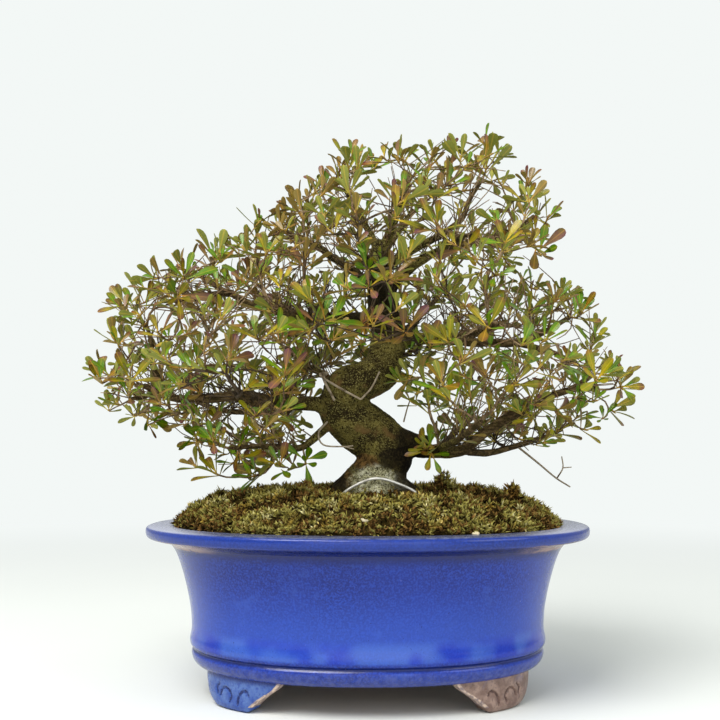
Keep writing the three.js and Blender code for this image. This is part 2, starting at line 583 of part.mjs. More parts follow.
const COLOURS = {
  pot: { color: 0x3a51ae, roughness: 0.18, metalness: 0 },
  soil: { color: 0x5b4a35, roughness: 1, metalness: 0 },
  moss: { color: 0x75703a, roughness: 1, metalness: 0 },
  net: { color: 0x22252a, roughness: 0.6, metalness: 0 },
  wire: { color: 0xc9ccd0, roughness: 0.35, metalness: 1 },
  wood: { color: 0x5a4c36, roughness: 0.95, metalness: 0 },
  leaf: { color: 0x63713a, roughness: 0.5, metalness: 0 },
};

const bonsai = new THREE.Group();
bonsai.name = 'satsuki_azalea_bonsai';

function addPiece(name, geometry, look) {
  const mesh = new THREE.Mesh(geometry, new THREE.MeshStandardMaterial(COLOURS[look]));
  mesh.name = name;
  bonsai.add(mesh);
}

function buildPotAndFilling() {
  const wireHole = solidOf(wireRod(WIRE.radius + WIRE.clearance, 6));
  const rootHole = makeTrunk(ROOT_CLEARANCE);
  const recesses = [-1, 1].map((side) => solidOf(netRecess(side)));
  addPiece('pot', makePot(), 'pot');
  addPiece('drain_mesh_left', makeNet(-1), 'net');
  addPiece('drain_mesh_right', makeNet(1), 'net');
  addPiece('soil', makeSoil([rootHole, wireHole, ...recesses]), 'soil');
  addPiece('moss', makeMoss([rootHole, wireHole]), 'moss');
  addPiece('tie_wire', wireRod(WIRE.radius, 6), 'wire');
}

// Every limb's tip gets its spray before the flanks do, so that the flanks fill what the tips leave open.
function growSprays(tree, random) {
  const sprays = [];
  for (const tips of [true, false]) {
    for (const limb of LIMBS) {
      limb.sprays.forEach((at, k) => {
        if ((at === 1) !== tips) return;
        const lines = bestWayOut(limb, at, sprays, tree, random);
        sprays.push({ name: `spray_${limb.name}_${k + 1}`, lines, solid: twigSolid(lines) });
      });
    }
  }
  return sprays;
}

// Sets the blades of each spray, apart from those that would touch the wood or another spray, or would cross
// a blade of their own.
function addBlades(sprays, tree, random) {
  for (const spray of sprays) {
    const others = [tree, ...sprays.filter((other) => other !== spray).map((other) => other.solid)];
    const { twig, side } = spray.lines;
    const set = [];
    for (const blade of [...whorl(twig, random), ...whorl(side, random)]) {
      if (!touches(blade, others) && !touches(blade, set, ROOTS_MEET)) set.push(blade);
    }
    spray.solid = joined([spray.solid, ...set]);
  }
}

function buildTree() {
  const wood = [makeTrunk(0), ...LIMBS.map(limbSolid)];
  for (const dead of DEAD_TWIGS) wood.push(solidOf(bentRod(dead.line, taper(dead.from, dead.to), 4, 11)));
  const tree = joined(wood);
  const random = seeded(SEED);
  const sprays = growSprays(tree, random);
  addBlades(sprays, tree, random);
  addPiece('tree_wood', geometryOf(tree), 'wood');
  for (const spray of sprays) addPiece(spray.name, geometryOf(spray.solid), 'leaf');
}

buildPotAndFilling();
buildTree();

export default bonsai;
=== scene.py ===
"""Satsuki azalea bonsai in its blue oval pot: the looks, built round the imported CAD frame.

Lengths in this file are millimetres, and mesh_object() turns them into metres. The pot, moss, wire and wood
are finer versions of their CAD solids. Each group of leafy sprays becomes one foliage piece: twigs that grow
from the limbs to points spread evenly round them, with a rosette of leaves at the end of each.
"""

import json
import math

import bpy
import numpy as np
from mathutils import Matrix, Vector, noise

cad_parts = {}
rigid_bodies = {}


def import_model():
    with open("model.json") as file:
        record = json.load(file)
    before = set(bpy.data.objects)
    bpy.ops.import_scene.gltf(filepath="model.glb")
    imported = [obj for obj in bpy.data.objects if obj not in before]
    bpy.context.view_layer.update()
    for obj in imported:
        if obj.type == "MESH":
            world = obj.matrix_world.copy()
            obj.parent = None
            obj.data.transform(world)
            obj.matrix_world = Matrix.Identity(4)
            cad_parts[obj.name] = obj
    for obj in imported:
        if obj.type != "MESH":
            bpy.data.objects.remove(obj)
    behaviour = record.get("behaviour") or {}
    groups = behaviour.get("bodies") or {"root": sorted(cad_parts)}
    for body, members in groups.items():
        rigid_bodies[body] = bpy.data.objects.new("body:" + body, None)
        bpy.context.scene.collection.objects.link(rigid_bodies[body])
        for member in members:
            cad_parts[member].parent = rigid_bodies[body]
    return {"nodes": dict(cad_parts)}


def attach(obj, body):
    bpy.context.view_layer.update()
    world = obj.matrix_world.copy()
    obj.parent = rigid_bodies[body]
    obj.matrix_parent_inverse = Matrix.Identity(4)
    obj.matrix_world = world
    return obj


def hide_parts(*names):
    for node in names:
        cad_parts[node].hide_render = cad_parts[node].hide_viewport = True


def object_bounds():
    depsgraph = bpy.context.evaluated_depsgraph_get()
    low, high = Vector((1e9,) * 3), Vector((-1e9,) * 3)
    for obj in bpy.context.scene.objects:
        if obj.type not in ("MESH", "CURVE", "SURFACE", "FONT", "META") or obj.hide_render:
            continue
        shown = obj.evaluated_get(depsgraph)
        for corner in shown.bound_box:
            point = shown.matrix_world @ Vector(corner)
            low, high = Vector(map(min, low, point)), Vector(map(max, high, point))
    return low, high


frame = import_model()
CAD_BOX = [list(corner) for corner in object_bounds()]

# ---------------------------------------------------------------- driving values

MM = 0.001
LENS = 47.8  # camera, for the photograph's square view
SENSOR = 36
CAMERA_PLACE = (-4.5, -585, 141)
CAMERA_TILT = 95.378  # degrees; 90 would look along the floor

SQUARENESS = 2.15  # exponent of the pot's oval
DEPTH_LESS = 27  # each level's half depth is this much less than its half length
PROPORTIONAL = 90  # below this half length the half depth shrinks in proportion instead
POT_TURNS = 192  # points round the pot
BASE = [(0, 16.5), (60, 16.5), (95, 16.5), (99.5, 17.3), (102.4, 19.7), (103.8, 23)]
MOULDING = [(103.8, 25.4), (102.2, 27), (104.5, 28.6), (105.2, 32), (103.8, 37)]
WALL = [(104.6, 49), (107.3, 62), (111, 75), (114.8, 84.5), (119.6, 88.8)]
LIP = [(128.2, 89.8), (131, 91.2), (131.6, 94.8), (130.7, 96.8), (127.6, 97.3)]
INSIDE = [(116.1, 97.4), (113.9, 95.8), (106, 80), (100, 52), (97, 28), (94, 24), (50, 24), (0, 24)]
DRAIN_X = 48
DRAIN_RADIUS = 10
UNGLAZED = {"under": 16.6, "inside": 108, "below": 80}  # heights and half length where the pot is raw clay
# Materials on the pot's body, and on its feet.
GLAZED, BARE, RAW = range(3)
FOOT_GLAZED, FOOT_BARE, FOOT_DIRT, FOOT_POOLED, FOOT_RUBBED = range(5)

# A foot's width from its middle at each height: steep towards the pot's end, a long sweep on the other side.
FOOT_TO_END = [(9, 0), (15, 1), (20, 3), (24, 6), (26.5, 10), (28, 15), (28, 19)]
FOOT_TO_MIDDLE = [(7, 0), (9.5, 1), (12, 4), (15.5, 7), (20, 10), (25.5, 13.5), (29, 17), (29, 19)]
FOOT_OVAL = 98.5
FOOT_PLACE = 0.44  # how far round its quarter each foot stands
FOOT_THICKNESS = 9
FOOT_BULGE = 1.3
BARE_FOOT = 3  # the quarter whose foot took hardly any glaze: in front, on the right
FOOT_WORN = 2.2  # width of the worn edge on the long sweep
FOOT_FLOOR_EDGE = 1.2  # the foot is this much thinner where it stands on the floor
FOOT_ROWS, FOOT_COLUMNS = 40, 81
# The carved cloud scroll, a pair of curls: strokes by width from the foot's middle and height.
SCROLL = [
    [(-12, 13.2), (-13.9, 10.8), (-13.3, 8.2)],
    [(-10.8, 7.4), (-9, 10.8), (-6, 11.8), (-3.2, 10.4), (-2, 7.6), (-3.4, 5)],
    [(2.6, 4.4), (3.6, 8.4), (6, 11.2), (8.6, 11.6), (9.8, 9.6)],
]
SCROLL_DEPTH = 0.9
SCROLL_WIDTH = 0.7

MOSS_SEED = 11
# Moss tones: name, two tones of the leaflets, a third in patches, and the darker tone at their foot, which is
# painted shade.
MOSS_TONES = [
    # The darkest tone also stands for the shade between the tufts, on the mat and in the dips.
    ("moss_dark_shaded", (38, 28, 8), (72, 60, 22), (58, 40, 16), (10, 7, 1)),
    ("moss_olive", (128, 118, 46), (178, 170, 96), (158, 130, 56), (38, 30, 7)),
    ("moss_gold", (168, 158, 82), (224, 216, 160), (204, 172, 88), (62, 48, 14)),
    ("moss_brown", (96, 68, 30), (146, 112, 62), (120, 90, 40), (26, 16, 5)),
]
MOSS_OLIVE, MOSS_GOLD, MOSS_BROWN = 1, 2, 3
MOSS_EDGE = 113.1
MOUND_EDGE = 97
MOUND_HEIGHT = 19
MOUND_POWER = 6
MOSS_RELIEF = 2.9
MOSS_DIP = {"at": (14, -36), "reach": (36, 17), "depth": 5}  # the moss is lower before the root base
MOSS_THICKNESS = 4.5
TUFTS = 4300
EDGE_TUFTS = 1500  # more of them on the steep edge
LEAFLETS = 7  # in each tuft
TALL_TUFTS = [((44, -18), 12, 26), ((84, -22), 7.5, 16), ((-86, -20), 5.5, 14), ((-36, -34), 5, 12)]
PEBBLES = [((-2, -80), 2.5), ((56, -79.5), 2.2), ((-66, -70), 1.9), ((30, 64), 2.6), ((-92, 14), 2.1)]

WIRE_RADIUS = 0.8
WIRE_LINE = [
    (-36, 0, 14.4), (-45.5, 0, 14.6), (-48, 0, 18), (-48, 0, 30), (-39, -10, 70), (-29, -20, 98),
    (-20, -25.5, 110), (-10, -26.5, 119), (4, -25.5, 124.5), (18, -26, 121.4), (30.6, -24.6, 114),
    (38.6, -18.4, 99), (43, -9, 70), (48, 0, 30), (48, 0, 18), (45.5, 0, 14.6), (36, 0, 14.4),
]

# The trunk: x, y, z and radius, from the buried stump to the top of the S.
TRUNK = [
    (5, 0, 84, 17), (5, 0, 103, 29), (5, 0, 114, 28), (6, 0, 122, 20.5), (9, 0, 131, 15.5),
    (12, 1, 139.6, 16), (5, 2, 148, 16), (-6, 1, 156.4, 15.8), (-14, -2, 165, 15), (-15, -5, 172, 13.6),
    (-12, -7, 178.5, 12.6), (-3, -6, 182.5, 12), (8, -3, 188.5, 11.6), (11, 0, 198, 11), (13, 4, 210, 10.6),
    (11, 5, 224, 10), (9, 3, 238, 9), (7, 0, 251, 7.5), (8, -4, 263, 6), (9, -6, 270, 4),
]
# Patches of the bark, by the middle and the reach of each in x and z.
PALE_BARK = [((5, 119), (17, 13))]
BROWN_BARK = [((-1, 134), (8, 5)), ((-14, 124), (6, 6))]
# Dark bark with painted shade: under the trunk's fold, at the sides of the root base and inside the crown.
DARK_BARK_AND_SHADE = [
    ((20, 136), (15, 8)), ((28, 143), (13, 17)), ((-21, 117), (10, 14)), ((25.5, 120), (11, 15)),
    ((6, 234), (30, 28)), ((24, 172), (8, 10)),
]
# And patches of painted shade on the twigs.
TWIG_SHADE = [((4, 226), (48, 42)), ((72, 143), (34, 12)), ((-70, 176), (40, 12))]
TRUNK_LENGTH = 210
ROOT_BASE = (5, 0, 116)  # where the trunk leaves the moss
MELTED_SHARE = 0.32  # of each limb's length, melted into the trunk
MELT_VOXEL = 1.1
MELT_SMOOTHING = 5  # rounds that ease the steps of the remesh
# A limb's first stretch is this share wider where it starts, a little thicker than the limb, and thinner
# at its end, so that it sinks into the limb.
COLLAR = {"share": 0.45, "fades": 7, "over": 0.35, "sinks": 0.95}
BARE_SHARE = 0.12  # of each limb's length, where no twig grows
FLARE = {"ribs": 5, "depth": 0.1, "below": 126, "over": 16}  # the root base swells into ribs
# How the bark's surface moves, in mm: long ridges along the trunk, knots, and grain.
RIDGES = {"depth": 0.75, "wide": 3.4, "long": 22}
KNOTS = {"depth": 1.1, "size": 13}
GRAIN = {"depth": 0.28, "size": 2.2}
# Surface roots: x, y, z and radius.
ROOTS = [
    [(-4, -8, 124, 8), (-14, -13, 117, 7), (-24, -16, 110, 5.5), (-34, -18, 103, 4)],
    [(14, -8, 122, 7.5), (24, -12, 115, 6.5), (33, -14, 108, 5), (42, -15, 101, 4)],
    [(6, -14, 120, 8), (5, -23, 113, 7), (2, -32, 105, 5)],
    [(-6, 6, 121, 8), (-18, 14, 113, 7), (-28, 22, 104, 5)],
    [(14, 8, 121, 8), (24, 18, 113, 6.5), (31, 27, 104, 5)],
]
# Limbs: name, radius at both ends, line. They are the CAD's own limb lines.
LIMBS = [
    ("knee", 11.5, 7, [(6, 0, 148), (19, 0, 146.5), (29, 0, 144), (37, 0, 142.5)]),
    ("left_low", 5.5, 1.9, [(-8, -1, 168), (-28, -4, 169), (-44, -10, 169), (-59, -14, 171), (-77, -14, 173),
        (-98, -10, 172), (-120, -6, 173), (-136, -4, 180)]),
    ("left_low_tip", 1.9, 1.2, [(-128, -5, 176), (-136, -11, 173), (-141, -18, 171)]),
    ("left_low_rise", 2.4, 1.3, [(-119, -6, 173), (-131, 0, 190), (-134, 6, 206), (-138, 10, 218)]),
    ("left_low_back", 2.8, 1.3, [(-41, -8, 169), (-59, 12, 166), (-83, 34, 165), (-104, 52, 169),
        (-120, 66, 176)]),
    ("left_drop", 3.2, 1.2, [(-14, -2, 164), (-33, -12, 147), (-42, -16, 142), (-53, -24, 143),
        (-66, -33, 143), (-77, -40, 142)]),
    ("left_front", 2.6, 1.3, [(-54, -13, 171), (-57, -36, 168), (-64, -58, 167), (-70, -78, 169)]),
    ("left_mid", 4.2, 1.5, [(10, 5, 222), (-6, 0, 222), (-26, -6, 221), (-47, -8, 223), (-69, -6, 229),
        (-87, -4, 238), (-102, -2, 247)]),
    ("left_mid_back", 2.6, 1.3, [(-41, -8, 222), (-55, 18, 234), (-68, 40, 243), (-80, 58, 249)]),
    ("left_mid_far", 2.2, 1.3, [(-84, -4, 237), (-94, -22, 233), (-103, -38, 229), (-108, -52, 224)]),
    ("left_mid_front", 2.6, 1.3, [(-23, -5, 221), (-33, -32, 217), (-41, -57, 215), (-50, -78, 217)]),
    ("left_high", 3.6, 1.4, [(9, 3, 237), (-6, 6, 250), (-22, 8, 262), (-39, 8, 272), (-55, 6, 279)]),
    ("right_low", 5, 1.7, [(10, 1, 144), (24, 0, 142), (38, 0, 140), (56, -5, 141), (69, -8, 150),
        (87, -10, 162), (107, -8, 172), (126, -6, 178), (138, -4, 178)]),
    ("right_low_under", 2.8, 1.2, [(55, -5, 141), (73, 8, 139), (96, 18, 144), (112, 22, 149),
        (124, 24, 154)]),
    ("right_low_front", 2.8, 1.3, [(38, 0, 140), (45, -28, 143), (53, -54, 149), (60, -76, 156)]),
    ("right_low_back", 2.8, 1.3, [(43, -1, 140), (51, 30, 146), (62, 57, 155), (75, 80, 165)]),
    ("right_mid", 4.4, 1.5, [(12, 4, 211), (29, 0, 210), (50, -5, 208), (70, -8, 206), (91, -8, 206),
        (108, -6, 213), (124, -4, 222)]),
    ("right_mid_back", 2.7, 1.3, [(50, -5, 208), (66, 22, 214), (82, 44, 220), (95, 62, 228)]),
    ("right_mid_far", 2.2, 1.3, [(89, -8, 206), (100, -24, 201), (108, -40, 196), (113, -52, 191)]),
    ("right_mid_front", 2.7, 1.3, [(44, -4, 209), (55, -32, 207), (64, -57, 207), (71, -78, 209)]),
    ("right_high", 3.6, 1.4, [(10, 3, 237), (29, -2, 255), (50, -4, 265), (74, -4, 270), (93, -2, 278),
        (104, 0, 286)]),
    ("right_high_front", 2.4, 1.3, [(47, -4, 264), (52, -26, 264), (55, -46, 263), (57, -62, 260)]),
    ("top_right", 3.2, 1.3, [(8, 0, 251), (26, -6, 263), (46, -8, 273), (58, -8, 282), (63, -6, 295),
        (70, -4, 306)]),
    ("top", 3.2, 1.3, [(8, -4, 261), (15, -8, 277), (20, -12, 290), (25, -12, 302)]),
    ("top_back", 2.6, 1.3, [(8, -2, 257), (16, 14, 274), (24, 26, 288), (30, 34, 299)]),
    ("top_left", 3, 1.3, [(8, -4, 261), (0, 0, 279), (-8, 4, 293), (-14, 4, 304)]),
    ("back_low", 3, 1.3, [(5, -5, 187), (14, 24, 196), (20, 54, 208), (16, 80, 220)]),
    ("back_high", 3, 1.3, [(9, 3, 237), (7, 30, 252), (2, 55, 268), (-3, 75, 283)]),
    ("back_left", 3, 1.3, [(-12, -4, 177), (-25, 24, 187), (-39, 51, 197), (-53, 76, 208)]),
    ("back_right", 3, 1.3, [(12, 4, 206), (27, 32, 220), (42, 57, 237), (54, 76, 253)]),
    ("front_high", 2.8, 1.3, [(10, 5, 228), (9, -22, 236), (3, -46, 244), (-4, -68, 250)]),
]
DEAD_TWIGS = [
    (0.75, 0.45, [(92, 17, 145), (106, 12, 133), (116, 8, 124), (124, 4, 118.5)]),
    (0.5, 0.35, [(117, 8, 124), (121, 10, 130), (120, 8, 137)]),
    (0.4, 0.3, [(121, 10, 130), (126, 8, 130.5)]),
    (0.6, 0.4, [(-24, -10, 158), (-29, -19, 151), (-26, -21, 144), (-14, -22, 143), (-8.5, -22, 143.5)]),
    (0.35, 0.25, [(-14, -22, 143), (-8, -23, 141.5)]),
    (0.95, 0.7, [(-24, -14, 187), (-26, -21, 183), (-19.5, -24, 170)]),
    (0.75, 0.6, [(-24, -14, 187), (-28, -21, 185), (-16, -25, 177), (-4, -26, 170.5)]),
    (0.6, 0.5, [(-4, -26, 170.5), (2, -26, 177), (7, -22, 187)]),
    (0.5, 0.35, [(22, -4, 158), (24, -8, 166), (26, -12, 172)]),
]
# The foliage pieces, and the limbs whose sprays each one stands for.
FOLIAGE = {
    "foliage_left_low": ["left_low", "left_low_tip", "left_low_rise"],
    "foliage_left_back": ["left_low_back", "back_left"],
    "foliage_left_front": ["left_drop", "left_front", "left_mid_far"],
    "foliage_left_mid": ["left_mid", "left_mid_back"],
    "foliage_left_high": ["left_high", "left_mid_front"],
    "foliage_right_low": ["right_low", "right_low_under", "knee"],
    "foliage_right_front": ["right_low_front", "right_mid_front"],
    "foliage_right_back": ["right_low_back", "right_mid_back"],
    "foliage_right_mid": ["right_mid", "right_mid_far", "right_high_front"],
    "foliage_right_high": ["right_high", "back_right"],
    "foliage_top": ["top", "top_left", "top_right", "top_back"],
    "foliage_middle": ["back_low", "back_high", "front_high"],
}

# The crown's outline from the front, x and z. Sections further to the front or back are smaller copies of it.
CROWN = [
    (-180, 176), (-163, 208), (-160, 234), (-138, 252), (-118, 260), (-92, 275), (-58, 294), (-32, 316),
    (-12, 332), (24, 334), (50, 337), (80, 342), (98, 322), (112, 306), (123, 286), (124, 250), (148, 228),
    (151, 206), (162, 190), (172, 169), (142, 151), (122, 137), (64, 130), (44, 142), (38, 176), (-34, 178),
    (-38, 146), (-52, 121), (-92, 121), (-108, 128), (-122, 147), (-158, 156),
]
CROWN_MIDDLE = (0, 205)
CROWN_HALF_DEPTH = 118
CROWN_FALL = 0.5  # how soon the sections shrink towards the front and back
FOLIAGE_SEED = 2026
TIP_TRIES = 90000  # random spots that are looked at; some 600 of them get a leafy shoot
TIP_SPACING = (13.8, 22)  # at the outside of the crown and deep inside it
TIP_INSET = 11  # tips stay this far inside the crown's outline, so that the leaves fit it
TIP_CLEARANCE = 6  # from the limbs
INNER_SHARE = 0.3  # of the tips that would fit deep inside the crown, how many grow
BAYS = {"size": 42, "depth": 7}  # soft bays and bumps of the crown's outside
# Holes through the leaves: how wide and how deep, and the noise above which there is one, left and right
# of the trunk.
HOLES = {"wide": 22, "foot_shade": 80, "left": 0.2, "right": -0.06, "shift": (7.3, 2.1, 5.9)}
SHELL = 34  # how deep the leafy outside of the crown is
CAD_INSET = (12, 12, 9)  # and tips stay this far inside the CAD's box
# Boxes that stay free of leaves: x, y and z from and to.
OPEN_AROUND_TRUNK = [
    ((-42, 40), (-130, 130), (0, 174)),
    ((-38, 34), (-130, 8), (0, 199)),
    ((-24, -2), (-130, 130), (183, 201)),
]
# Shoots that stand out of the outline or before the trunk: where their leaves grow from, and how long these
# leaves are.
SHOOTS = [
    ((74, -6, 315), 23), ((106, -4, 287), 15), ((139, -8, 214), 16), ((149, -6, 164), 21),
    ((131, -10, 153), 15), ((-134, -10, 231), 22), ((-149, -8, 207), 16), ((-150, -4, 183), 15),
    ((-156, -8, 165), 14), ((-133, -6, 156), 15), ((-72, -40, 136), 17), ((-50, -44, 134), 14),
    ((-4, -8, 316), 17), ((22, -10, 320), 16), ((40, -8, 317), 16), ((-29, -6, 305), 14),
    ((-94, -8, 254), 18), ((-80, -4, 262), 16), ((-68, -12, 270), 17), ((-111, -6, 248), 15),
    ((26, -14, 170), 12), ((36, -24, 143), 13), ((41, -22, 148), 11), ((10, -34, 205), 15),
    ((-24, -36, 203), 13), ((92, -12, 147), 12), ((-18, -30, 206), 12), ((30, -30, 202), 14),
    ((44, -24, 191), 15), ((60, -20, 191), 12), ((74, -18, 197), 14), ((24, -26, 182), 16),
    ((45, -28, 177), 12), ((36, -24, 167), 15), ((58, -22, 173), 13), ((79, -26, 182), 15),
    ((101, -18, 173), 15), ((33, -28, 142), 14), ((38, -27, 137), 14), ((30, -30, 187), 15),
    ((18, -27, 181), 14), ((29, -27, 174), 16), ((88, -30, 163), 16), ((68, -30, 178), 15),
    ((96, -24, 158), 15), ((-100, -30, 132), 15), ((-88, -34, 128), 17), ((-66, -30, 126), 18),
    ((-57, -26, 131), 16), ((-45, -30, 130), 15), ((-36, -26, 133), 15), ((-62, -36, 150), 16),
]
# Leaf tones: name, stalk, middle, tip, and a tint that changes leaf by leaf. Those in RED_KINDS have the
# second of the back tones, which have a stalk and a middle.
LEAF_TONES = [
    ("leaf_olive", (208, 170, 54), (130, 118, 10), (106, 70, 38), (110, 110, 5)),
    ("leaf_green", (180, 174, 40), (90, 126, 5), (106, 104, 14), (74, 112, 4)),
    ("leaf_bronze", (202, 152, 52), (124, 94, 20), (102, 56, 38), (110, 90, 12)),
    ("leaf_plum", (188, 138, 56), (112, 80, 50), (98, 56, 62), (106, 88, 30)),
    ("leaf_gold", (208, 170, 54), (150, 136, 16), (130, 98, 32), (126, 126, 8)),
]
RED_KINDS = (2, 3)
BACK_TONES = [
    ("leaf_back_green", (192, 168, 62), (128, 132, 52)),
    ("leaf_back_bronze", (192, 148, 64), (136, 116, 54)),
]
TWIG_KIND = len(LEAF_TONES) + len(BACK_TONES)
SHOOT_KIND = TWIG_KIND + 1
# How often a leaf has each tone, in the sun and in the shade.
SUNNY = np.array([0.27, 0.13, 0.26, 0.26, 0.08])
SHADED = np.array([0.25, 0.47, 0.06, 0.10, 0.12])
ALIKE = 0.62  # share of a rosette's leaves that have the rosette's own tone
SHADE_BELOW = 110  # no leaf is sunny below this height
GREENER_RIGHT = {"from": 20, "by": 0.45}  # right of this x, the leaves are shaded by this much more
GOLDEN_ANGLE = 137.5  # from each leaf of a rosette to the next, in degrees
LEAF_OPENING = (64, 48)  # the first leaf's angle from the rosette's axis, and how much less the last one's is
TWIG_TIP_RADIUS = 0.4
TWIG_POWER = 0.42  # a twig's radius goes with this power of the number of tips that it carries
OLD_TWIGS = 1600  # leafless twigs, which make the tangle inside the crown
OLD_TWIG_LENGTH = (8, 34)
LEAVES_IN_ROSETTE = (5, 7)
LEAF_LENGTH = (9.5, 18.5)
LEAF_WIDTH = 0.315  # of the length
LEAF_THICKNESS = 0.3

WORLD_LIGHT = {"low": 0.42, "high": 0.76, "backdrop": 0.955}
BACKDROP = (0.94, 0.98, 0.965, 1)
# Lamps: name, place and size in metres, power and colour.
LAMPS = [
    ("key", (-0.7, -1.0, 1.6), (1.1, 1.1), 46, (1, 0.985, 0.96)),
    ("fill", (1.3, -0.9, 0.9), (1.0, 1.0), 8, (1, 1, 1)),
    ("front", (0.1, -1.7, 0.4), (1.6, 0.8), 5, (1, 1, 1)),
]
FLOOR_FADE = (260, 1400)  # how far from the object the floor turns into the backdrop
FLOOR_REACH = 6000

# ---------------------------------------------------------------- points and lines


def unit(vectors):
    """The vectors, each with length 1."""
    vectors = np.asarray(vectors, float)
    return vectors / np.maximum(np.linalg.norm(vectors, axis=-1, keepdims=True), 1e-9)


def bend(t, start, end, leave, arrive):
    """A curve from start to end that leaves along one vector and arrives along the other. t is 0 to 1."""
    t = t[:, None]
    first = (2 * t**3 - 3 * t**2 + 1) * start + (t**3 - 2 * t**2 + t) * leave
    return first + (3 * t**2 - 2 * t**3) * end + (t**3 - t**2) * arrive


def smooth_line(points, step):
    """A smooth curve through the points, with a point about every step. More columns than 3 go along."""
    p = np.array(points, float)
    p = np.vstack([2 * p[0] - p[1], p, 2 * p[-1] - p[-2]])
    parts = []
    for before, start, end, after in zip(p, p[1:], p[2:], p[3:]):
        count = max(1, round(np.linalg.norm(end[:3] - start[:3]) / step))
        parts.append(bend(np.arange(count) / count, start, end, (end - before) / 2, (after - start) / 2))
    return np.vstack([*parts, p[-2]])


def along_of(line):
    """How far each point lies along the line, from 0 to 1."""
    steps = np.linalg.norm(np.diff(line[:, :3], axis=0), axis=1)
    run = np.concatenate([[0], np.cumsum(steps)])
    return run / run[-1]


def rough(points, size, octaves=2):
    """Soft noise, about -1 to 1, at each point. Its blobs are about size across."""
    return np.array([noise.fractal(Vector(p) / size, 1.0, 2.1, octaves) for p in points])


def frames_along(line):
    """The direction of a line at each point, and two more directions across it that don't twist."""
    tangents = unit(np.gradient(line, axis=0))
    across = np.cross(tangents[0], (0.31, 0.17, 0.94))
    sides = []
    for tangent in tangents:
        across = across - tangent * across.dot(tangent)
        across = across / max(np.linalg.norm(across), 1e-9)
        sides.append(across)
    sides = np.array(sides)
    return tangents, sides, np.cross(tangents, sides)


def turned_faces(rows, sides):
    """Faces of rings of points, the first and last ring closed by a fan to a point of its own. These two
    points come last."""
    k = np.arange(sides)
    after = (k + 1) % sides
    row = np.arange(rows - 1)[:, None] * sides
    quads = np.stack([row + k, row + after, row + sides + after, row + sides + k], -1).reshape(-1, 4)
    last, hub = (rows - 1) * sides, rows * sides
    start_fan = np.stack([after, k, np.full(sides, hub)], -1)
    end_fan = np.stack([last + k, last + after, np.full(sides, hub + 1)], -1)
    return [quads, start_fan, end_fan]


def turns_of(count):
    """Angles that go evenly once round."""
    return np.arange(count) * 2 * math.pi / count


def tube(line, radii, sides):
    """Points and faces of a closed rod round a line. radii is one number a point, or one a point and side."""
    line = np.asarray(line, float)[:, :3]
    radii = np.asarray(radii, float).reshape(len(line), -1)
    turn = turns_of(sides)
    _, first, second = frames_along(line)
    ring = np.cos(turn)[None, :, None] * first[:, None] + np.sin(turn)[None, :, None] * second[:, None]
    points = (line[:, None] + ring * radii[:, :, None]).reshape(-1, 3)
    return np.vstack([points, line[0], line[-1]]), turned_faces(len(line), sides)


class Form:
    """Points and faces gathered for one mesh. Each face has the number of its material."""

    def __init__(self):
        self.points, self.faces, self.kinds, self.spots = [], [], [], []
        self.count = 0

    def add(self, points, faces, kind=0, spots=None):
        """kind is one number, or one array a face array. spots are places on a leaf, across and along."""
        kinds = kind if isinstance(kind, list) else [np.full(len(f), kind) for f in faces]
        self.points.append(points)
        self.faces += [f + self.count for f in faces]
        self.kinds += kinds
        self.spots.append(np.full((len(points), 2), 0.5) if spots is None else spots)
        self.count += len(points)


def new_object(name, data):
    """Puts a mesh, light or camera in the scene."""
    item = bpy.data.objects.new(name, data)
    bpy.context.scene.collection.objects.link(item)
    return item


def mesh_object(name, form, materials=()):
    """A form as an object, in metres."""
    mesh = bpy.data.meshes.new(name)
    faces = [face for part in form.faces for face in part.tolist()]
    mesh.from_pydata((np.vstack(form.points) * MM).tolist(), [], faces)
    for material in materials:
        mesh.materials.append(material)
    return new_object(name, mesh)


def add_piece(name, form, materials, spots=False, sharp=None):
    """A visible piece of the object, which rides on the root body. It's smooth but for edges over sharp."""
    piece = mesh_object(name, form, materials)
    mesh = piece.data
    mesh.polygons.foreach_set("use_smooth", np.ones(len(mesh.polygons), bool))
    mesh.polygons.foreach_set("material_index", np.concatenate(form.kinds).astype(np.int32))
    if spots:
        corners = np.zeros(len(mesh.loops), np.int32)
        mesh.loops.foreach_get("vertex_index", corners)
        layer = mesh.uv_layers.new(name="blade")
        layer.uv.foreach_set("vector", np.vstack(form.spots)[corners].astype(np.float32).ravel())
    if sharp:
        mesh.set_sharp_from_angle(angle=math.radians(sharp))
    mesh.update()
    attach(piece, "root")
    return piece


# ---------------------------------------------------------------- materials


def tone(colour):
    """A colour from 0 to 255 as the eye sees it, made linear for Blender. A socket stays as it is."""
    if hasattr(colour, "is_output"):
        return colour
    parts = [value / 255 for value in colour]
    return (*[v / 12.92 if v <= 0.04045 else ((v + 0.055) / 1.055) ** 2.4 for v in parts], 1)


class Nodes:
    """Adds nodes to a material or world."""

    def __init__(self, tree):
        self.tree = tree

    def put(self, socket, value):
        if hasattr(value, "is_output"):
            self.tree.links.new(value, socket)
        else:
            socket.default_value = value

    def add(self, kind, inputs, output=0, **settings):
        """A node with these inputs, by name or number. Returns one of its outputs."""
        node = self.tree.nodes.new(kind)
        for key, value in settings.items():
            setattr(node, key, value)
        for key, value in inputs.items():
            self.put(node.inputs[key], value)
        return node.outputs[output]


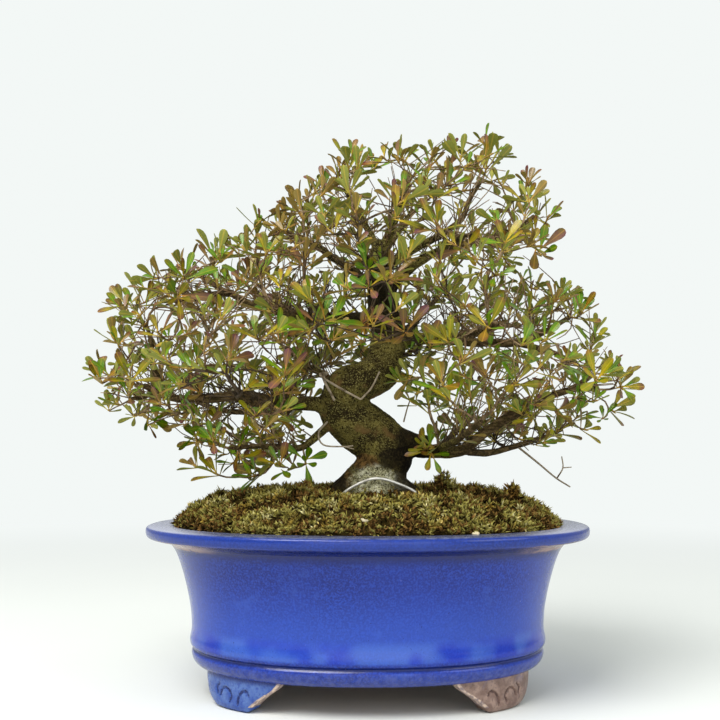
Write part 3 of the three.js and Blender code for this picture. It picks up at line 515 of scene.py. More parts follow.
class Paint(Nodes):
    """A material whose colour is laid on in layers: first a base of two colours, then tints over it, each
    where its masks are 1."""

    def __init__(self, name, specular=0.5, metallic=0.0):
        self.material = bpy.data.materials.new(name)
        self.material.use_nodes = True
        super().__init__(self.material.node_tree)
        self.shader = self.tree.nodes["Principled BSDF"].inputs
        self.shader["Specular IOR Level"].default_value = specular
        self.shader["Metallic"].default_value = metallic
        self.place = self.add("ShaderNodeTexCoord", {}, "Object")

    def noise(self, size, detail=3, roughness=0.55, stretch=(1, 1, 1), shift=0):
        """Noise from 0 to 1 with blobs about size mm across."""
        scale = [1 / (s * size * MM) for s in stretch]
        corner = (shift, shift * 0.7, shift * 1.3)
        place = self.add("ShaderNodeMapping", {"Vector": self.place, "Scale": scale, "Location": corner})
        look = {"Vector": place, "Scale": 1, "Detail": detail, "Roughness": roughness}
        return self.add("ShaderNodeTexNoise", look)

    def patches(self, size, low, high, detail=3, roughness=0.55, **where):
        """1 where the noise is above high, 0 where it is below low."""
        return self.step(self.noise(size, detail, roughness, **where), low, high)

    def cells(self, size):
        place = self.add("ShaderNodeMapping", {"Vector": self.place, "Scale": [1 / (size * MM)] * 3})
        return self.add("ShaderNodeTexVoronoi", {"Vector": place, "Scale": 1})

    def axis(self, name):
        """The place along X, Y or Z, in mm."""
        return self.times(self.add("ShaderNodeSeparateXYZ", {"Vector": self.place}, name), 1000)

    def blot(self, middle, reach):
        """1 in a soft patch of the front view: its middle and reach are x and z, in mm."""
        parts = []
        for name, centre, size in zip("XZ", middle, reach):
            distance = self.maths("DIVIDE", self.sum(self.axis(name), -centre), size)
            parts.append(self.maths("POWER", distance, 2))
        away = self.maths("SQRT", self.maths("ADD", *parts))
        return self.step(self.sum(self.noise(7, 4, 0.65), away, scale=0.9), 1.6, 1.2)

    def on_leaf(self, name):
        """Where on its leaf a point lies, across (X) or along (Y), from 0 to 1."""
        spot = self.add("ShaderNodeUVMap", {}, uv_map="blade")
        return self.add("ShaderNodeSeparateXYZ", {"Vector": spot}, name)

    def off_midrib(self):
        """How far across the leaf a point lies from the midrib, up to 0.5."""
        return self.maths("ABSOLUTE", self.sum(self.on_leaf("X"), -0.5))

    def maths(self, operation, *values):
        return self.add("ShaderNodeMath", dict(enumerate(values)), operation=operation)

    def sum(self, first, second, scale=1.0):
        """first times scale, plus second."""
        return self.maths("MULTIPLY_ADD", first, scale, second)

    def times(self, first, *others):
        for other in others:
            first = self.maths("MULTIPLY", first, other)
        return first

    def step(self, value, low, high):
        """0 below low, 1 above high, smooth between. With the larger number first, 1 below and 0 above."""
        inputs = {"Value": value, "From Min": min(low, high), "From Max": max(low, high)}
        if low > high:
            inputs |= {"To Min": 1, "To Max": 0}
        return self.add("ShaderNodeMapRange", inputs, interpolation_type="SMOOTHSTEP")

    def band(self, value, low, start, end, high):
        """0 below low, 1 from start to end, and 0 above high."""
        return self.times(self.step(value, low, start), self.step(value, high, end))

    def ramp(self, value, stops):
        node = self.tree.nodes.new("ShaderNodeValToRGB")
        elements = node.color_ramp.elements
        while len(elements) < len(stops):
            elements.new(0.5)
        for element, (place, colour) in zip(elements, stops):
            element.position, element.color = place, tone(colour)
        self.put(node.inputs["Fac"], value)
        return node.outputs["Color"]

    def mix(self, share, first, second):
        inputs = {0: share, 6: tone(first), 7: tone(second)}
        return self.add("ShaderNodeMix", inputs, 2, data_type="RGBA")

    def base(self, share, dark, light):
        self.colour = self.mix(share, dark, light)

    def over(self, tint, *masks):
        self.colour = self.mix(self.times(*masks), self.colour, tint)

    def over_spots(self, tint, spots, share):
        for spot in spots:
            self.over(tint, self.blot(*spot), share)

    def finish(self, roughness, bump=None, depth=0.0):
        """Puts it all on the shader. roughness may be the (size, spread, least) of a noise, and bump the
        (size, detail) of one. depth is the bump's, in mm."""
        if isinstance(roughness, tuple):
            size, spread, least = roughness
            roughness = self.sum(self.noise(size), least, scale=spread)
        self.put(self.shader["Base Color"], self.colour)
        self.put(self.shader["Roughness"], roughness)
        if bump is not None:
            height = self.noise(*bump) if isinstance(bump, tuple) else bump
            inputs = {"Strength": 1, "Distance": depth * MM, "Height": height}
            self.put(self.shader["Normal"], self.add("ShaderNodeBump", inputs, "Normal"))
        return self.material


# Plain finishes of two colours: specular, the colours, the size of their patches, with where these end and
# start if they are sharper than the noise itself, the roughness, the bump and its depth, and metallic.
PLAIN_PAINTS = {
    "carved_foot_clay": (0.3, [(76, 56, 52), (112, 88, 78)], (1.8, 0.4, 0.65), (3, 0.3, 0.35), (1.2, 3), 0.2),
    "carved_glaze": (0.45, [(10, 26, 84), (34, 58, 120)], (1.6, 0.4, 0.62), (2, 0.3, 0.12), (1.2, 2), 0.1),
    "worn_foot_edge": (
        0.35, [(128, 112, 116), (206, 182, 160)], (2.2, 0.35, 0.65), (3, 0.4, 0.3), (1.2, 3), 0.2,
    ),
    "drain_net_plastic": (0.4, [(26, 28, 30), (48, 52, 54)], (4,), (2, 0.25, 0.45), (0.8,), 0.05),
    "aluminium_wire": (
        0.5, [(244, 243, 236), (206, 203, 194)], (5, 0.4, 0.7), (2.5, 0.3, 0.3), (0.9, 2), 0.04, 0.7,
    ),
    "young_shoot": (0.4, [(126, 92, 44), (166, 138, 60)], (4, 0.35, 0.65, 2), 0.6, (0.7, 2), 0.08),
    "pale_pebble": (0.4, [(176, 162, 128), (222, 212, 182)], (1.4,), 0.8, (0.7,), 0.2),
}


def plain_paint(name):
    specular, colours, patches, roughness, bump, depth, *metallic = PLAIN_PAINTS[name]
    paint = Paint(name, specular, *metallic)
    paint.base(paint.patches(*patches) if len(patches) > 1 else paint.noise(*patches), *colours)
    return paint.finish(roughness, bump, depth)


def glaze():
    """Cobalt glaze: soft clouds, fine specks and downward streaks. It is darkest under the lip, where shade
    is painted, pools bright above the moulding, wears grey on the rim, where a painted reflection pales it
    towards the pot's ends, and brown under the lip's ends. A painted reflection of the floor lightens the
    lower wall, and one towards the pot's ends lightens the whole glaze, together with the glaze's own paler
    tint there."""
    paint = Paint("cobalt_glaze", specular=0.42)
    z = paint.axis("Z")
    from_middle = paint.maths("ABSOLUTE", paint.axis("X"))
    wobble = paint.sum(paint.noise(9, 2), z, scale=1.6)
    paint.base(paint.patches(60, 0.35, 0.7, 2), (5, 32, 118), (10, 41, 136))
    paint.over((24, 60, 166), paint.patches(1.1, 0.4, 0.66, 3, 0.6))
    paint.over((34, 66, 160), paint.patches(14, 0.56, 0.75, 4, 0.65))
    streaks = paint.patches(0.9, 0.5, 0.7, 3, 0.6, stretch=(1, 1, 9), shift=7)
    paint.over((8, 32, 116), streaks, 0.5)
    # Painted reflection of the floor: the lower wall is lighter.
    paint.over((44, 82, 184), paint.band(z, 33, 40, 44, 74), 0.4)
    pools = paint.mix(paint.patches(34, 0.42, 0.58, 2, shift=12), (6, 40, 168), (64, 100, 186))
    paint.over(pools, paint.band(z, 29, 31, 37, 43), 0.55)
    paint.over((8, 18, 70), paint.patches(0.9, 0.68, 0.74, 2, 0.5, shift=5), 0.75)
    low = paint.mix(paint.patches(4, 0.35, 0.65, 4, 0.7, shift=15), (30, 46, 116), (86, 94, 138))
    paint.over(low, paint.step(wobble, 27, 23), 0.42)
    # Lighter towards the pot's ends: partly the glaze's own paler tint, partly a painted reflection.
    paint.over((84, 98, 168), paint.step(from_middle, 74, 108), 0.22)
    paint.over((8, 20, 74), paint.band(wobble, 26, 27.2, 28.6, 29.8), 0.75)
    # Painted shade: darkest under the lip.
    paint.over((3, 14, 74), paint.band(wobble, 80, 88, 91, 92.4), 0.88)
    worn = paint.times(paint.band(wobble, 85.4, 87, 91, 92), paint.patches(9, 0.3, 0.5, 4, 0.7, shift=3))
    paint.over((158, 128, 120), worn, paint.step(from_middle, 76, 100), 0.9)
    paint.over((20, 44, 112), paint.step(z, 90.5, 92), 0.55)
    rim = paint.step(z, 96.2, 97)
    grey = paint.mix(paint.patches(5, 0.35, 0.65, 4, 0.7, shift=9), (58, 66, 96), (98, 104, 128))
    # Painted reflection: the rim's thin grey glaze pales towards the pot's ends.
    grey = paint.mix(paint.times(paint.step(from_middle, 72, 110), 0.9), grey, (182, 186, 206))
    paint.over(grey, rim, 0.85)
    roughness = paint.sum(paint.noise(5), paint.sum(rim, 0.08, scale=0.04), scale=0.26)
    return paint.finish(roughness, (3.2, 3, 0.5), 0.12)


def foot_glaze():
    """The feet's thinner, greyer glaze, with painted shade where they meet the base."""
    paint = Paint("foot_glaze", specular=0.45)
    paint.base(paint.patches(7, 0.35, 0.68), (40, 70, 142), (74, 102, 160))
    paint.over((30, 58, 138), paint.patches(1.2, 0.5, 0.7, 3, 0.6))
    # Painted shade: darker at the top, where the feet meet the base.
    paint.over((14, 32, 100), paint.step(paint.axis("Z"), 14.5, 18))
    return paint.finish((3, 0.3, 0.12), (2.4, 3), 0.2)


def bare_clay():
    """The foot that took hardly any glaze: grey-brown clay with a purple cast and a few blue traces."""
    paint = Paint("bare_foot_clay", specular=0.45)
    paint.base(paint.patches(5, 0.35, 0.68, 4, 0.6), (110, 86, 76), (146, 122, 110))
    paint.over((92, 72, 66), paint.patches(1.4, 0.56, 0.74, 2))
    paint.over((84, 92, 138), paint.patches(8, 0.54, 0.66, shift=2), paint.step(paint.axis("Z"), 12, 18), 0.4)
    return paint.finish((4, 0.4, 0.14), (2.6, 3), 0.45)


def foot_paints(bare):
    """The feet's finishes: glaze, clay, dirt in the clay's carving, glaze in the carving and worn edges."""
    return [foot_glaze(), bare, *map(plain_paint, ("carved_foot_clay", "carved_glaze", "worn_foot_edge"))]


def raw_clay():
    """The unglazed underside and inner floor of the pot."""
    paint = Paint("raw_clay", specular=0.3)
    paint.base(paint.noise(6, 4, 0.65), (96, 70, 56), (142, 108, 86))
    return paint.finish(0.85, (1.4, 3), 0.3)


def moss_paint(name, dark, light, patch_tone, foot_shade):
    """Moss leaflets: darker at the foot, where shade is painted, lighter towards the tip, in patches of two
    tones.
    """
    paint = Paint(name, specular=0.08)
    paint.base(paint.patches(2.2, 0.3, 0.7, 3, 0.6), dark, light)
    paint.over(patch_tone, paint.patches(11, 0.5, 0.72, 2, shift=4))
    # Painted shade at the foot of each leaflet.
    paint.over(foot_shade, paint.step(paint.on_leaf("Y"), 0.75, 0.1))
    return paint.finish(0.95, (0.8, 2), 0.15)


def soil_paint():
    paint = Paint("potting_soil", specular=0.2)
    paint.base(paint.step(paint.cells(3), 0.2, 0.6), (70, 52, 34), (120, 92, 60))
    return paint.finish(0.95, paint.cells(2.4), 0.8)


def bark():
    """Dark bark under a film of dry olive moss and lichen. The root base is worn pale in front, with a brown
    ridge beside it, the wood is nearly black where the trunk folds over, dark bark with painted shade there
    and inside the crown, and the limbs are bare and brown."""
    paint = Paint("azalea_bark", specular=0.12)
    paint.base(paint.patches(11, 0.36, 0.66, 4, 0.62), (40, 32, 13), (108, 98, 48))
    paint.over((136, 128, 72), paint.patches(0.8, 0.52, 0.64, 3, 0.6))
    paint.over((24, 17, 6), paint.patches(1.3, 0.5, 0.62, 4, 0.7, shift=6))
    paint.over((100, 78, 44), paint.patches(13, 0.6, 0.74, 2, shift=9))
    grain = paint.patches(2.2, 0.42, 0.62, 4, 0.7, stretch=(4, 1, 1))
    on_limbs = paint.step(paint.maths("ABSOLUTE", paint.sum(paint.axis("X"), -6)), 36, 52)
    paint.over(paint.mix(grain, (44, 32, 18), (104, 84, 58)), on_limbs, 0.8)
    ridge = paint.mix(paint.patches(2.2, 0.42, 0.62), (52, 36, 16), (118, 88, 48))
    paint.over_spots(ridge, BROWN_BARK, 0.85)
    pale = paint.mix(paint.patches(1.0, 0.4, 0.6, 4, 0.7), (84, 78, 48), (184, 182, 146))
    pale = paint.mix(paint.patches(6, 0.5, 0.66, shift=2), pale, (208, 206, 180))
    pale = paint.mix(paint.patches(2.2, 0.52, 0.63, 4, 0.75, shift=8), pale, (38, 31, 16))
    front = paint.step(paint.sum(paint.noise(10, shift=3), paint.axis("Y"), scale=10), -2, -9)
    paint.over_spots(pale, PALE_BARK, front)
    # Dark bark with painted shade under the fold, at the root base's sides and inside the crown.
    dark_and_shade = paint.mix(paint.patches(1.4, 0.45, 0.7), (18, 13, 7), (46, 38, 20))
    paint.over_spots(dark_and_shade, DARK_BARK_AND_SHADE, 0.88)
    height = paint.sum(paint.noise(1.1, 2), paint.noise(3, 3, 0.7), scale=0.4)
    return paint.finish(0.92, height, 0.7)


def dead_wood():
    paint = Paint("dead_twig_wood", specular=0.25)
    paint.base(paint.noise(3), (112, 96, 74), (184, 170, 146))
    paint.over((92, 78, 58), paint.patches(7, 0.55, 0.7, 2, shift=2))
    return paint.finish(0.85, (1, 3), 0.2)


def twig_paint():
    """Grey-brown twigs, with painted shade that makes them nearly black around the top of the trunk and
    in two low patches.
    """
    paint = Paint("twig_bark", specular=0.3)
    paint.base(paint.patches(6, 0.35, 0.65), (74, 55, 30), (144, 122, 90))
    paint.over((112, 82, 50), paint.patches(15, 0.5, 0.7, 2, shift=7))
    paint.over((54, 42, 28), paint.patches(1.3, 0.56, 0.68, 2))
    # Painted shade on the twigs.
    paint.over_spots((38, 28, 16), TWIG_SHADE, 0.8)
    return paint.finish(0.8, (0.9, 2), 0.12)


def leaf_paint(name, stalk, middle, tip, other):
    """A leaf's upper side: stalk, middle and tip colours, a pale midrib, a brown margin, and a tint that
    changes leaf by leaf."""
    paint = Paint(name, specular=0.32)
    along, off_midrib = paint.on_leaf("Y"), paint.off_midrib()
    wave = paint.sum(paint.noise(2.4), along, scale=0.22)
    paint.colour = paint.ramp(wave, [(0.2, stalk), (0.5, middle), (0.78, middle), (1.04, tip)])
    paint.over(other, paint.patches(12, 0.42, 0.62, 1, shift=3))
    paint.over(stalk, paint.step(off_midrib, 0.075, 0.02), 0.32)
    paint.over((58, 40, 14), paint.step(off_midrib, 0.3, 0.5), 0.7, paint.step(along, 0.25, 0.5))
    paint.over((96, 66, 40), paint.patches(0.9, 0.62, 0.72, 2, shift=8), 0.3)
    return paint.finish((3, 0.14, 0.26), (1.2, 2), 0.1)


def leaf_back_paint(name, stalk, middle):
    paint = Paint(name, specular=0.35)
    wave = paint.sum(paint.noise(2.4), paint.on_leaf("Y"), scale=0.2)
    paint.colour = paint.ramp(wave, [(0.12, stalk), (0.42, middle)])
    paint.over(stalk, paint.step(paint.off_midrib(), 0.1, 0.03), 0.5)
    return paint.finish(0.6, (1.2, 2), 0.1)


def foliage_paints():
    leaves = [leaf_paint(*tones) for tones in LEAF_TONES]
    backs = [leaf_back_paint(*tones) for tones in BACK_TONES]
    return [*leaves, *backs, twig_paint(), plain_paint("young_shoot")]


# ---------------------------------------------------------------- pot


def half_depth(half_length):
    half_length = np.asarray(half_length, float)
    shrunk = half_length * (PROPORTIONAL - DEPTH_LESS) / PROPORTIONAL
    return np.where(half_length > PROPORTIONAL, half_length - DEPTH_LESS, shrunk)


def oval(turn):
    """The oval's points for a half length and half depth of 1."""
    power = 2 / SQUARENESS
    x, y = np.cos(turn), np.sin(turn)
    return np.sign(x) * np.abs(x) ** power, np.sign(y) * np.abs(y) ** power


def eased(profile, reach, steps=4):
    """A profile with each corner rounded over at most reach on both sides."""
    out = [profile[0]]
    for before, corner, after in zip(profile, profile[1:], profile[2:]):
        corner = np.array(corner, float)
        arms = []
        for other in (before, after):
            arm = np.array(other, float) - corner
            length = np.linalg.norm(arm)
            arms.append(corner + arm * min(0.5, reach / length))
        for t in np.linspace(0, 1, steps + 1):
            out.append(tuple((1 - t) ** 2 * arms[0] + 2 * t * (1 - t) * corner + t**2 * arms[1]))
    return [*out, profile[-1]]


def oval_body(profile):
    """Turns a profile of (half length, height) points round the oval. It starts and ends on the axis."""
    middle = np.array(profile[1:-1], float)
    x, y = oval(turns_of(POT_TURNS))
    wide, high = middle[:, :1], middle[:, 1:]
    rings = np.stack([wide * x, half_depth(wide) * y, np.repeat(high, POT_TURNS, 1)], -1).reshape(-1, 3)
    points = np.vstack([rings, (0, 0, profile[0][1]), (0, 0, profile[-1][1])])
    return points, turned_faces(len(middle), POT_TURNS)


def foot_half(outline, heights):
    """A foot's width at each height, with the corners of its outline eased."""
    width, height = np.array(outline, float).T
    half = np.interp(heights, height, width)
    return np.convolve(np.pad(half, 1, mode="edge"), (0.25, 0.5, 0.25), mode="valid")


def foot_outline(quarter):
    """Places on a foot's front, as rows from the floor up: the distance from the foot's middle, the height,
    half of the foot's width there, and whether it's on the side towards the pot's end."""
    z = np.linspace(0, FOOT_TO_END[-1][1], FOOT_ROWS)
    s = np.linspace(-1, 1, FOOT_COLUMNS)[None]
    at_end = s * side_of_end(quarter) > 0
    half = np.where(at_end, foot_half(FOOT_TO_END, z)[:, None], foot_half(FOOT_TO_MIDDLE, z)[:, None])
    return s * half, np.repeat(z[:, None], FOOT_COLUMNS, 1), half, at_end


def side_of_end(quarter):
    return 1 if quarter % 2 else -1


def scroll_distance(quarter, u, tall):
    """How far each place on a foot's front is from the nearest stroke of the carving."""
    flat = np.column_stack([(-side_of_end(quarter) * u).ravel(), tall.ravel()])
    strokes = np.vstack([smooth_line([(*point, 0) for point in stroke], 0.3)[:, :2] for stroke in SCROLL])
    return np.sqrt(((flat[:, None] - strokes[None]) ** 2).sum(-1)).min(1).reshape(u.shape)


def on_ring(rim, run, at):
    """The places at these distances along a closed line, where run is the distance at each of its points."""
    return np.stack([np.interp(np.mod(at, run[-1]), run, rim[:, k]) for k in (0, 1)], -1)


def on_foot_oval(quarter, u):
    """The places u mm along the oval from a foot's middle, and the outward direction there."""
    x, y = oval(np.linspace(0, 2 * math.pi, 1441))
    rim = np.column_stack([x * FOOT_OVAL, y * half_depth(FOOT_OVAL)])
    run = np.concatenate([[0], np.cumsum(np.linalg.norm(np.diff(rim, axis=0), axis=1))])
    share = (quarter + 1 - FOOT_PLACE) / 4 if quarter % 2 else (quarter + FOOT_PLACE) / 4
    centre, ahead = [on_ring(rim, run, share * run[-1] + u + step) for step in (0, 0.5)]
    along = unit(ahead - centre)
    return centre, np.stack([along[..., 1], -along[..., 0]], -1)


def foot_form(quarter):
    """One foot: its outline wrapped round the oval, with the scroll carved in front. Its faces are glaze,
    dark glaze in the carving or worn clay on the long sweep's edge."""
    u, tall, half, at_end = foot_outline(quarter)
    near = scroll_distance(quarter, u, tall)
    pillow = FOOT_BULGE * (1 - np.abs(u / half) ** 5) * np.minimum(1, tall / 4 + 0.2)
    floor_edge = FOOT_FLOOR_EDGE * (tall < 0.8)
    front = pillow - SCROLL_DEPTH * np.exp(-((near / SCROLL_WIDTH) ** 2)) - floor_edge
    back = floor_edge - FOOT_THICKNESS
    centre, outward = on_foot_oval(quarter, u)
    layers = []
    for depth in (front, back):
        flat_place = centre + outward * depth[..., None]
        layers.append(np.concatenate([flat_place, tall[..., None]], -1).reshape(-1, 3))
    faces = closed_sheet_faces(*u.shape)
    number = faces % u.size
    worn = (half - np.abs(u) < FOOT_WORN) & ~at_end & (tall > 3)
    carved = (near.ravel()[number].max(1) < SCROLL_WIDTH * 1.5) & (faces < u.size).all(1)
    kinds = np.select([worn.ravel()[number].all(1), carved], [FOOT_RUBBED, FOOT_POOLED], FOOT_GLAZED)
    return np.vstack(layers), [faces], [kinds]


def closed_sheet_faces(rows, columns):
    """Quads of two grids of points, front and back, joined all round."""
    number = np.arange(rows * columns).reshape(rows, columns)
    a, b, c, d = number[:-1, :-1], number[:-1, 1:], number[1:, 1:], number[1:, :-1]
    front = np.stack([a, b, c, d], -1).reshape(-1, 4)
    back = front[:, ::-1] + rows * columns
    loop = np.concatenate([number[0], number[1:, -1], number[-1, -2::-1], number[-2:0:-1, 0]])
    after = np.roll(loop, -1)
    rim = np.stack([after, loop, loop + rows * columns, after + rows * columns], -1)
    return np.vstack([front, back, rim])


def bore_drains(pot):
    """Cuts the two drain holes through the floor."""
    cutter = Form()
    for x in (-DRAIN_X, DRAIN_X):
        cutter.add(*tube([(x, 0, 5), (x, 0, 20), (x, 0, 40)], [DRAIN_RADIUS] * 3, 48))
    tool = mesh_object("drain_cutter", cutter)
    cut = pot.modifiers.new("drains", "BOOLEAN")
    cut.operation = "DIFFERENCE"
    cut.object = tool
    apply_modifiers(pot)
    bpy.data.objects.remove(tool)


def apply_modifiers(piece):
    bpy.context.view_layer.update()
    ready = piece.evaluated_get(bpy.context.evaluated_depsgraph_get())
    mesh = bpy.data.meshes.new_from_object(ready)
    piece.modifiers.clear()
    piece.data = mesh


def pot_kinds(points, quads):
    """The materials of the wall's faces: glaze, or raw clay below and inside."""
    places = points[quads]
    low = places[:, :, 2].max(1) < UNGLAZED["under"]
    wide = np.linalg.norm(places[:, :, :2] / (1, 0.7), axis=2).max(1)
    inner = (wide < UNGLAZED["inside"]) & (places[:, :, 2].min(1) < UNGLAZED["below"])
    inner &= np.arange(len(quads)) > len(quads) / 2
    return np.where(low | inner, RAW, GLAZED)


def make_pot():
    body = Form()
    points, faces = oval_body(eased([*BASE, *MOULDING, *WALL, *LIP, *INSIDE], reach=5))
    clay = np.full(POT_TURNS, RAW)
    body.add(points, faces, [pot_kinds(points, faces[0]), clay, clay])
    paints = [glaze(), bare_clay(), raw_clay()]
    pot = add_piece("pot_glazed", body, paints, sharp=50)
    bore_drains(pot)
    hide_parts("pot")
    feet = Form()
    for quarter in range(4):
        points, faces, kinds = foot_form(quarter)
        if quarter == BARE_FOOT:
            bare = {FOOT_GLAZED: FOOT_BARE, FOOT_POOLED: FOOT_DIRT, FOOT_RUBBED: FOOT_RUBBED}
            kinds = [np.array([bare[kind] for kind in part.tolist()]) for part in kinds]
        feet.add(points, faces, kinds)
    add_piece("pot_feet", feet, foot_paints(pot.data.materials[BARE]), sharp=70)


# ---------------------------------------------------------------- moss, pebbles, wire


def mound(share):
    return MOUND_EDGE + MOUND_HEIGHT * (1 - share**MOUND_POWER)


def share_at(x, y):
    """How far out a spot lies between the pot's middle (0) and the moss's edge (1), measured on the oval."""
    reach = np.abs(x / MOSS_EDGE) ** SQUARENESS + np.abs(y / half_depth(MOSS_EDGE)) ** SQUARENESS
    return reach ** (1 / SQUARENESS)


def moss_height(x, y):
    share = np.minimum(1, share_at(x, y))
    spots = np.column_stack([x, y, np.zeros_like(x)])
    relief = rough(spots, 11, 2) + 0.45 * rough(spots + 40, 3.2, 2)
    (at_x, at_y), (reach_x, reach_y) = MOSS_DIP["at"], MOSS_DIP["reach"]
    dip = MOSS_DIP["depth"] * np.exp(-(((x - at_x) / reach_x) ** 2) - ((y - at_y) / reach_y) ** 2)
    return mound(share) - dip + MOSS_RELIEF * relief * np.clip((1 - share) * 12, 0.1, 1)


def moss_mat():
    """The mat under the tufts: a fine upper side, and a coarse lower side that the soil hides."""
    turns = 216
    x, y = oval(turns_of(turns))
    layers, numbers = [], []
    for shares, lift in ((np.linspace(0.01, 1, 62), 0), (np.linspace(0.01, 0.985, 6), -MOSS_THICKNESS)):
        grid_x = (shares[:, None] * MOSS_EDGE * x).ravel()
        grid_y = (shares[:, None] * half_depth(MOSS_EDGE) * y).ravel()
        first = sum(len(layer) for layer in layers)
        layers.append(np.column_stack([grid_x, grid_y, moss_height(grid_x, grid_y) + lift]))
        numbers.append(first + np.arange(len(grid_x)).reshape(len(shares), turns))
    hub = sum(len(layer) for layer in layers)
    points = np.vstack([*layers, (0, 0, layers[0][0, 2]), (0, 0, layers[1][0, 2])])
    faces = []
    for number, centre in zip(numbers, (hub, hub + 1)):
        after = np.roll(number, -1, 1)
        quads = np.stack([number[:-1], number[1:], after[1:], after[:-1]], -1).reshape(-1, 4)
        fan = np.stack([number[0], after[0], np.full(turns, centre)], -1)
        faces += [quads, fan] if centre == hub else [quads[:, ::-1], fan[:, ::-1]]
    top, low = numbers[0][-1], numbers[1][-1]
    faces.append(np.stack([np.roll(top, -1), top, low, np.roll(low, -1)], -1))
    return points, faces


def leaflets(bases, directions, lengths, widths, rng):
    """Small pointed blades, each a flat double pyramid of six faces."""
    count = len(bases)
    directions = unit(directions)
    side = unit(np.cross(directions, rng.normal(size=(count, 3))))
    flat = np.cross(directions, side)
    middle = bases + directions * (0.42 * lengths)[:, None]
    ring = [
        middle + side * (widths / 2)[:, None],
        middle - side * (widths / 2)[:, None],
        middle + flat * (widths * 0.28)[:, None],
    ]
    tip = bases + directions * lengths[:, None]
    points = np.stack([bases, *ring, tip], 1).reshape(-1, 3)
    one = np.array([(0, 2, 1), (0, 3, 2), (0, 1, 3), (4, 1, 2), (4, 2, 3), (4, 3, 1)])
    faces = (np.arange(count)[:, None, None] * 5 + one).reshape(-1, 3)
    spots = np.array([(0.5, 0), (0, 0.42), (1, 0.42), (0.5, 0.42), (0.5, 1)])
    return points, faces, np.tile(spots, (count, 1))


def tuft_spots(rng):
    """Where the tufts stand: evenly over the mound, close together on its edge, thick on the tall clumps."""
    x = rng.uniform(-MOSS_EDGE, MOSS_EDGE, TUFTS * 2)
    y = rng.uniform(-1, 1, TUFTS * 2) * half_depth(MOSS_EDGE)
    inside = share_at(x, y) < 0.99
    edge_x, edge_y = oval(rng.uniform(0, 2 * math.pi, EDGE_TUFTS))
    share = 1 - 0.1 * rng.random(EDGE_TUFTS) ** 2
    x = np.concatenate([x[inside][:TUFTS], edge_x * share * MOSS_EDGE])
    y = np.concatenate([y[inside][:TUFTS], edge_y * share * half_depth(MOSS_EDGE)])
    lift = np.zeros(len(x))
    for (cx, cy), height, count in TALL_TUFTS:
        spread = height * 0.42
        more_x, more_y = rng.normal(cx, spread, count * 4), rng.normal(cy, spread * 0.7, count * 4)
        near = np.exp(-(((more_x - cx) / spread) ** 2 + ((more_y - cy) / spread) ** 2) / 2)
        x, y = np.concatenate([x, more_x]), np.concatenate([y, more_y])
        lift = np.concatenate([lift, height * near * rng.uniform(0.3, 1, count * 4)])
    return x, y, lift


def tuft(spots, rng):
    """The leaflets of the tufts at these spots. Each tuft is a short leaning stem with leaflets round it."""
    count = len(spots) * LEAFLETS
    outward = unit(spots * (1, 1, 0)) * 0.3
    stem = np.repeat(unit(rng.normal(0, 0.5, spots.shape) + outward + (0, 0, 1)), LEAFLETS, 0)
    around = unit(np.cross(stem, rng.normal(size=stem.shape)))
    along = np.tile(np.arange(LEAFLETS) / LEAFLETS, len(spots))[:, None] * 2.4
    bases = np.repeat(spots, LEAFLETS, 0) + stem * (along - 0.4)
    lean = stem * rng.uniform(0.2, 1.1, (count, 1)) + around * 0.8
    return leaflets(bases, lean, rng.uniform(2.2, 5.0, count), rng.uniform(0.8, 1.7, count), rng)


def make_moss():
    rng = np.random.default_rng(MOSS_SEED)
    paints = [moss_paint(*tones) for tones in MOSS_TONES]
    mat = Form()
    mat.add(*moss_mat())
    # The mat takes the darkest moss tone: painted shade in the gaps between the tufts.
    piece = add_piece("moss_mat", mat, paints[:1], spots=True)
    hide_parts("moss")
    x, y, lift = tuft_spots(rng)
    spots = np.column_stack([x, y, moss_height(x, y) + lift])
    bump = (moss_height(x, y) - mound(np.minimum(1, share_at(x, y)))) / MOSS_RELIEF
    # Tufts on the bumps take the lighter tones and those in the dips the darker ones: painted light and
    # shade, over tone that differs at random.
    patch = 0.7 * rough(spots, 15, 2) + 0.6 * bump + rng.normal(0, 0.28, len(x))
    kinds = np.select([patch > 0.64, patch > -0.04, patch > -0.36], [MOSS_GOLD, MOSS_OLIVE, MOSS_BROWN], 0)
    half = len(x) // 2
    for name, part in (("moss_tufts_a", slice(0, half)), ("moss_tufts_b", slice(half, None))):
        points, faces, blades = tuft(spots[part], rng)
        tufts = Form()
        tufts.add(points, [faces], [np.repeat(kinds[part], len(faces) // len(kinds[part]))], blades)
        add_piece(name, tufts, paints, spots=True, sharp=40)


def make_pebbles():
    form = Form()
    for (x, y), size in PEBBLES:
        z = moss_height(np.array([float(x)]), np.array([float(y)]))[0]
        turn = np.linspace(0, math.pi, 9)
        line = np.column_stack([np.full(9, x), np.full(9, y), z + 0.5 + size * 0.5 * -np.cos(turn)])
        points, faces = tube(line, size * np.sin(turn) + 0.02, 14)
        shift = rough(points + size * 9, size * 1.1, 2)[:, None]
        form.add(points + unit(points - line.mean(0)) * shift * size * 0.35, faces)
    add_piece("pebbles", form, [plain_paint("pale_pebble")], sharp=60)


def make_wire():
    line = smooth_line(WIRE_LINE, 1.2)
    form = Form()
    form.add(*tube(line, np.full(len(line), WIRE_RADIUS), 16))
    wire = add_piece("tie_wire_fine", form, [plain_paint("aluminium_wire")], sharp=60)
    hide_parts("tie_wire")


# ---------------------------------------------------------------- trunk and limbs


def limb_line(start_radius, end_radius, points, seed, step=2.4):
    """A limb's line with a slight wander, and its radius at each point."""
    line = smooth_line(points, step)
    share = along_of(line)
    wander = np.column_stack([rough(line + seed + 31 * k, 17, 2) for k in range(3)])
    line = line + wander * (0.9 * np.sin(share * math.pi))[:, None]
    radii = start_radius + (end_radius - start_radius) * share
    return line, radii * (1 + 0.12 * rough(line + seed, 7, 2))


TRUNK_LINE = smooth_line(TRUNK, 1.5)
LIMB_LINES = [limb_line(*ends_and_points, 7 * k) for k, (_, *ends_and_points) in enumerate(LIMBS)]


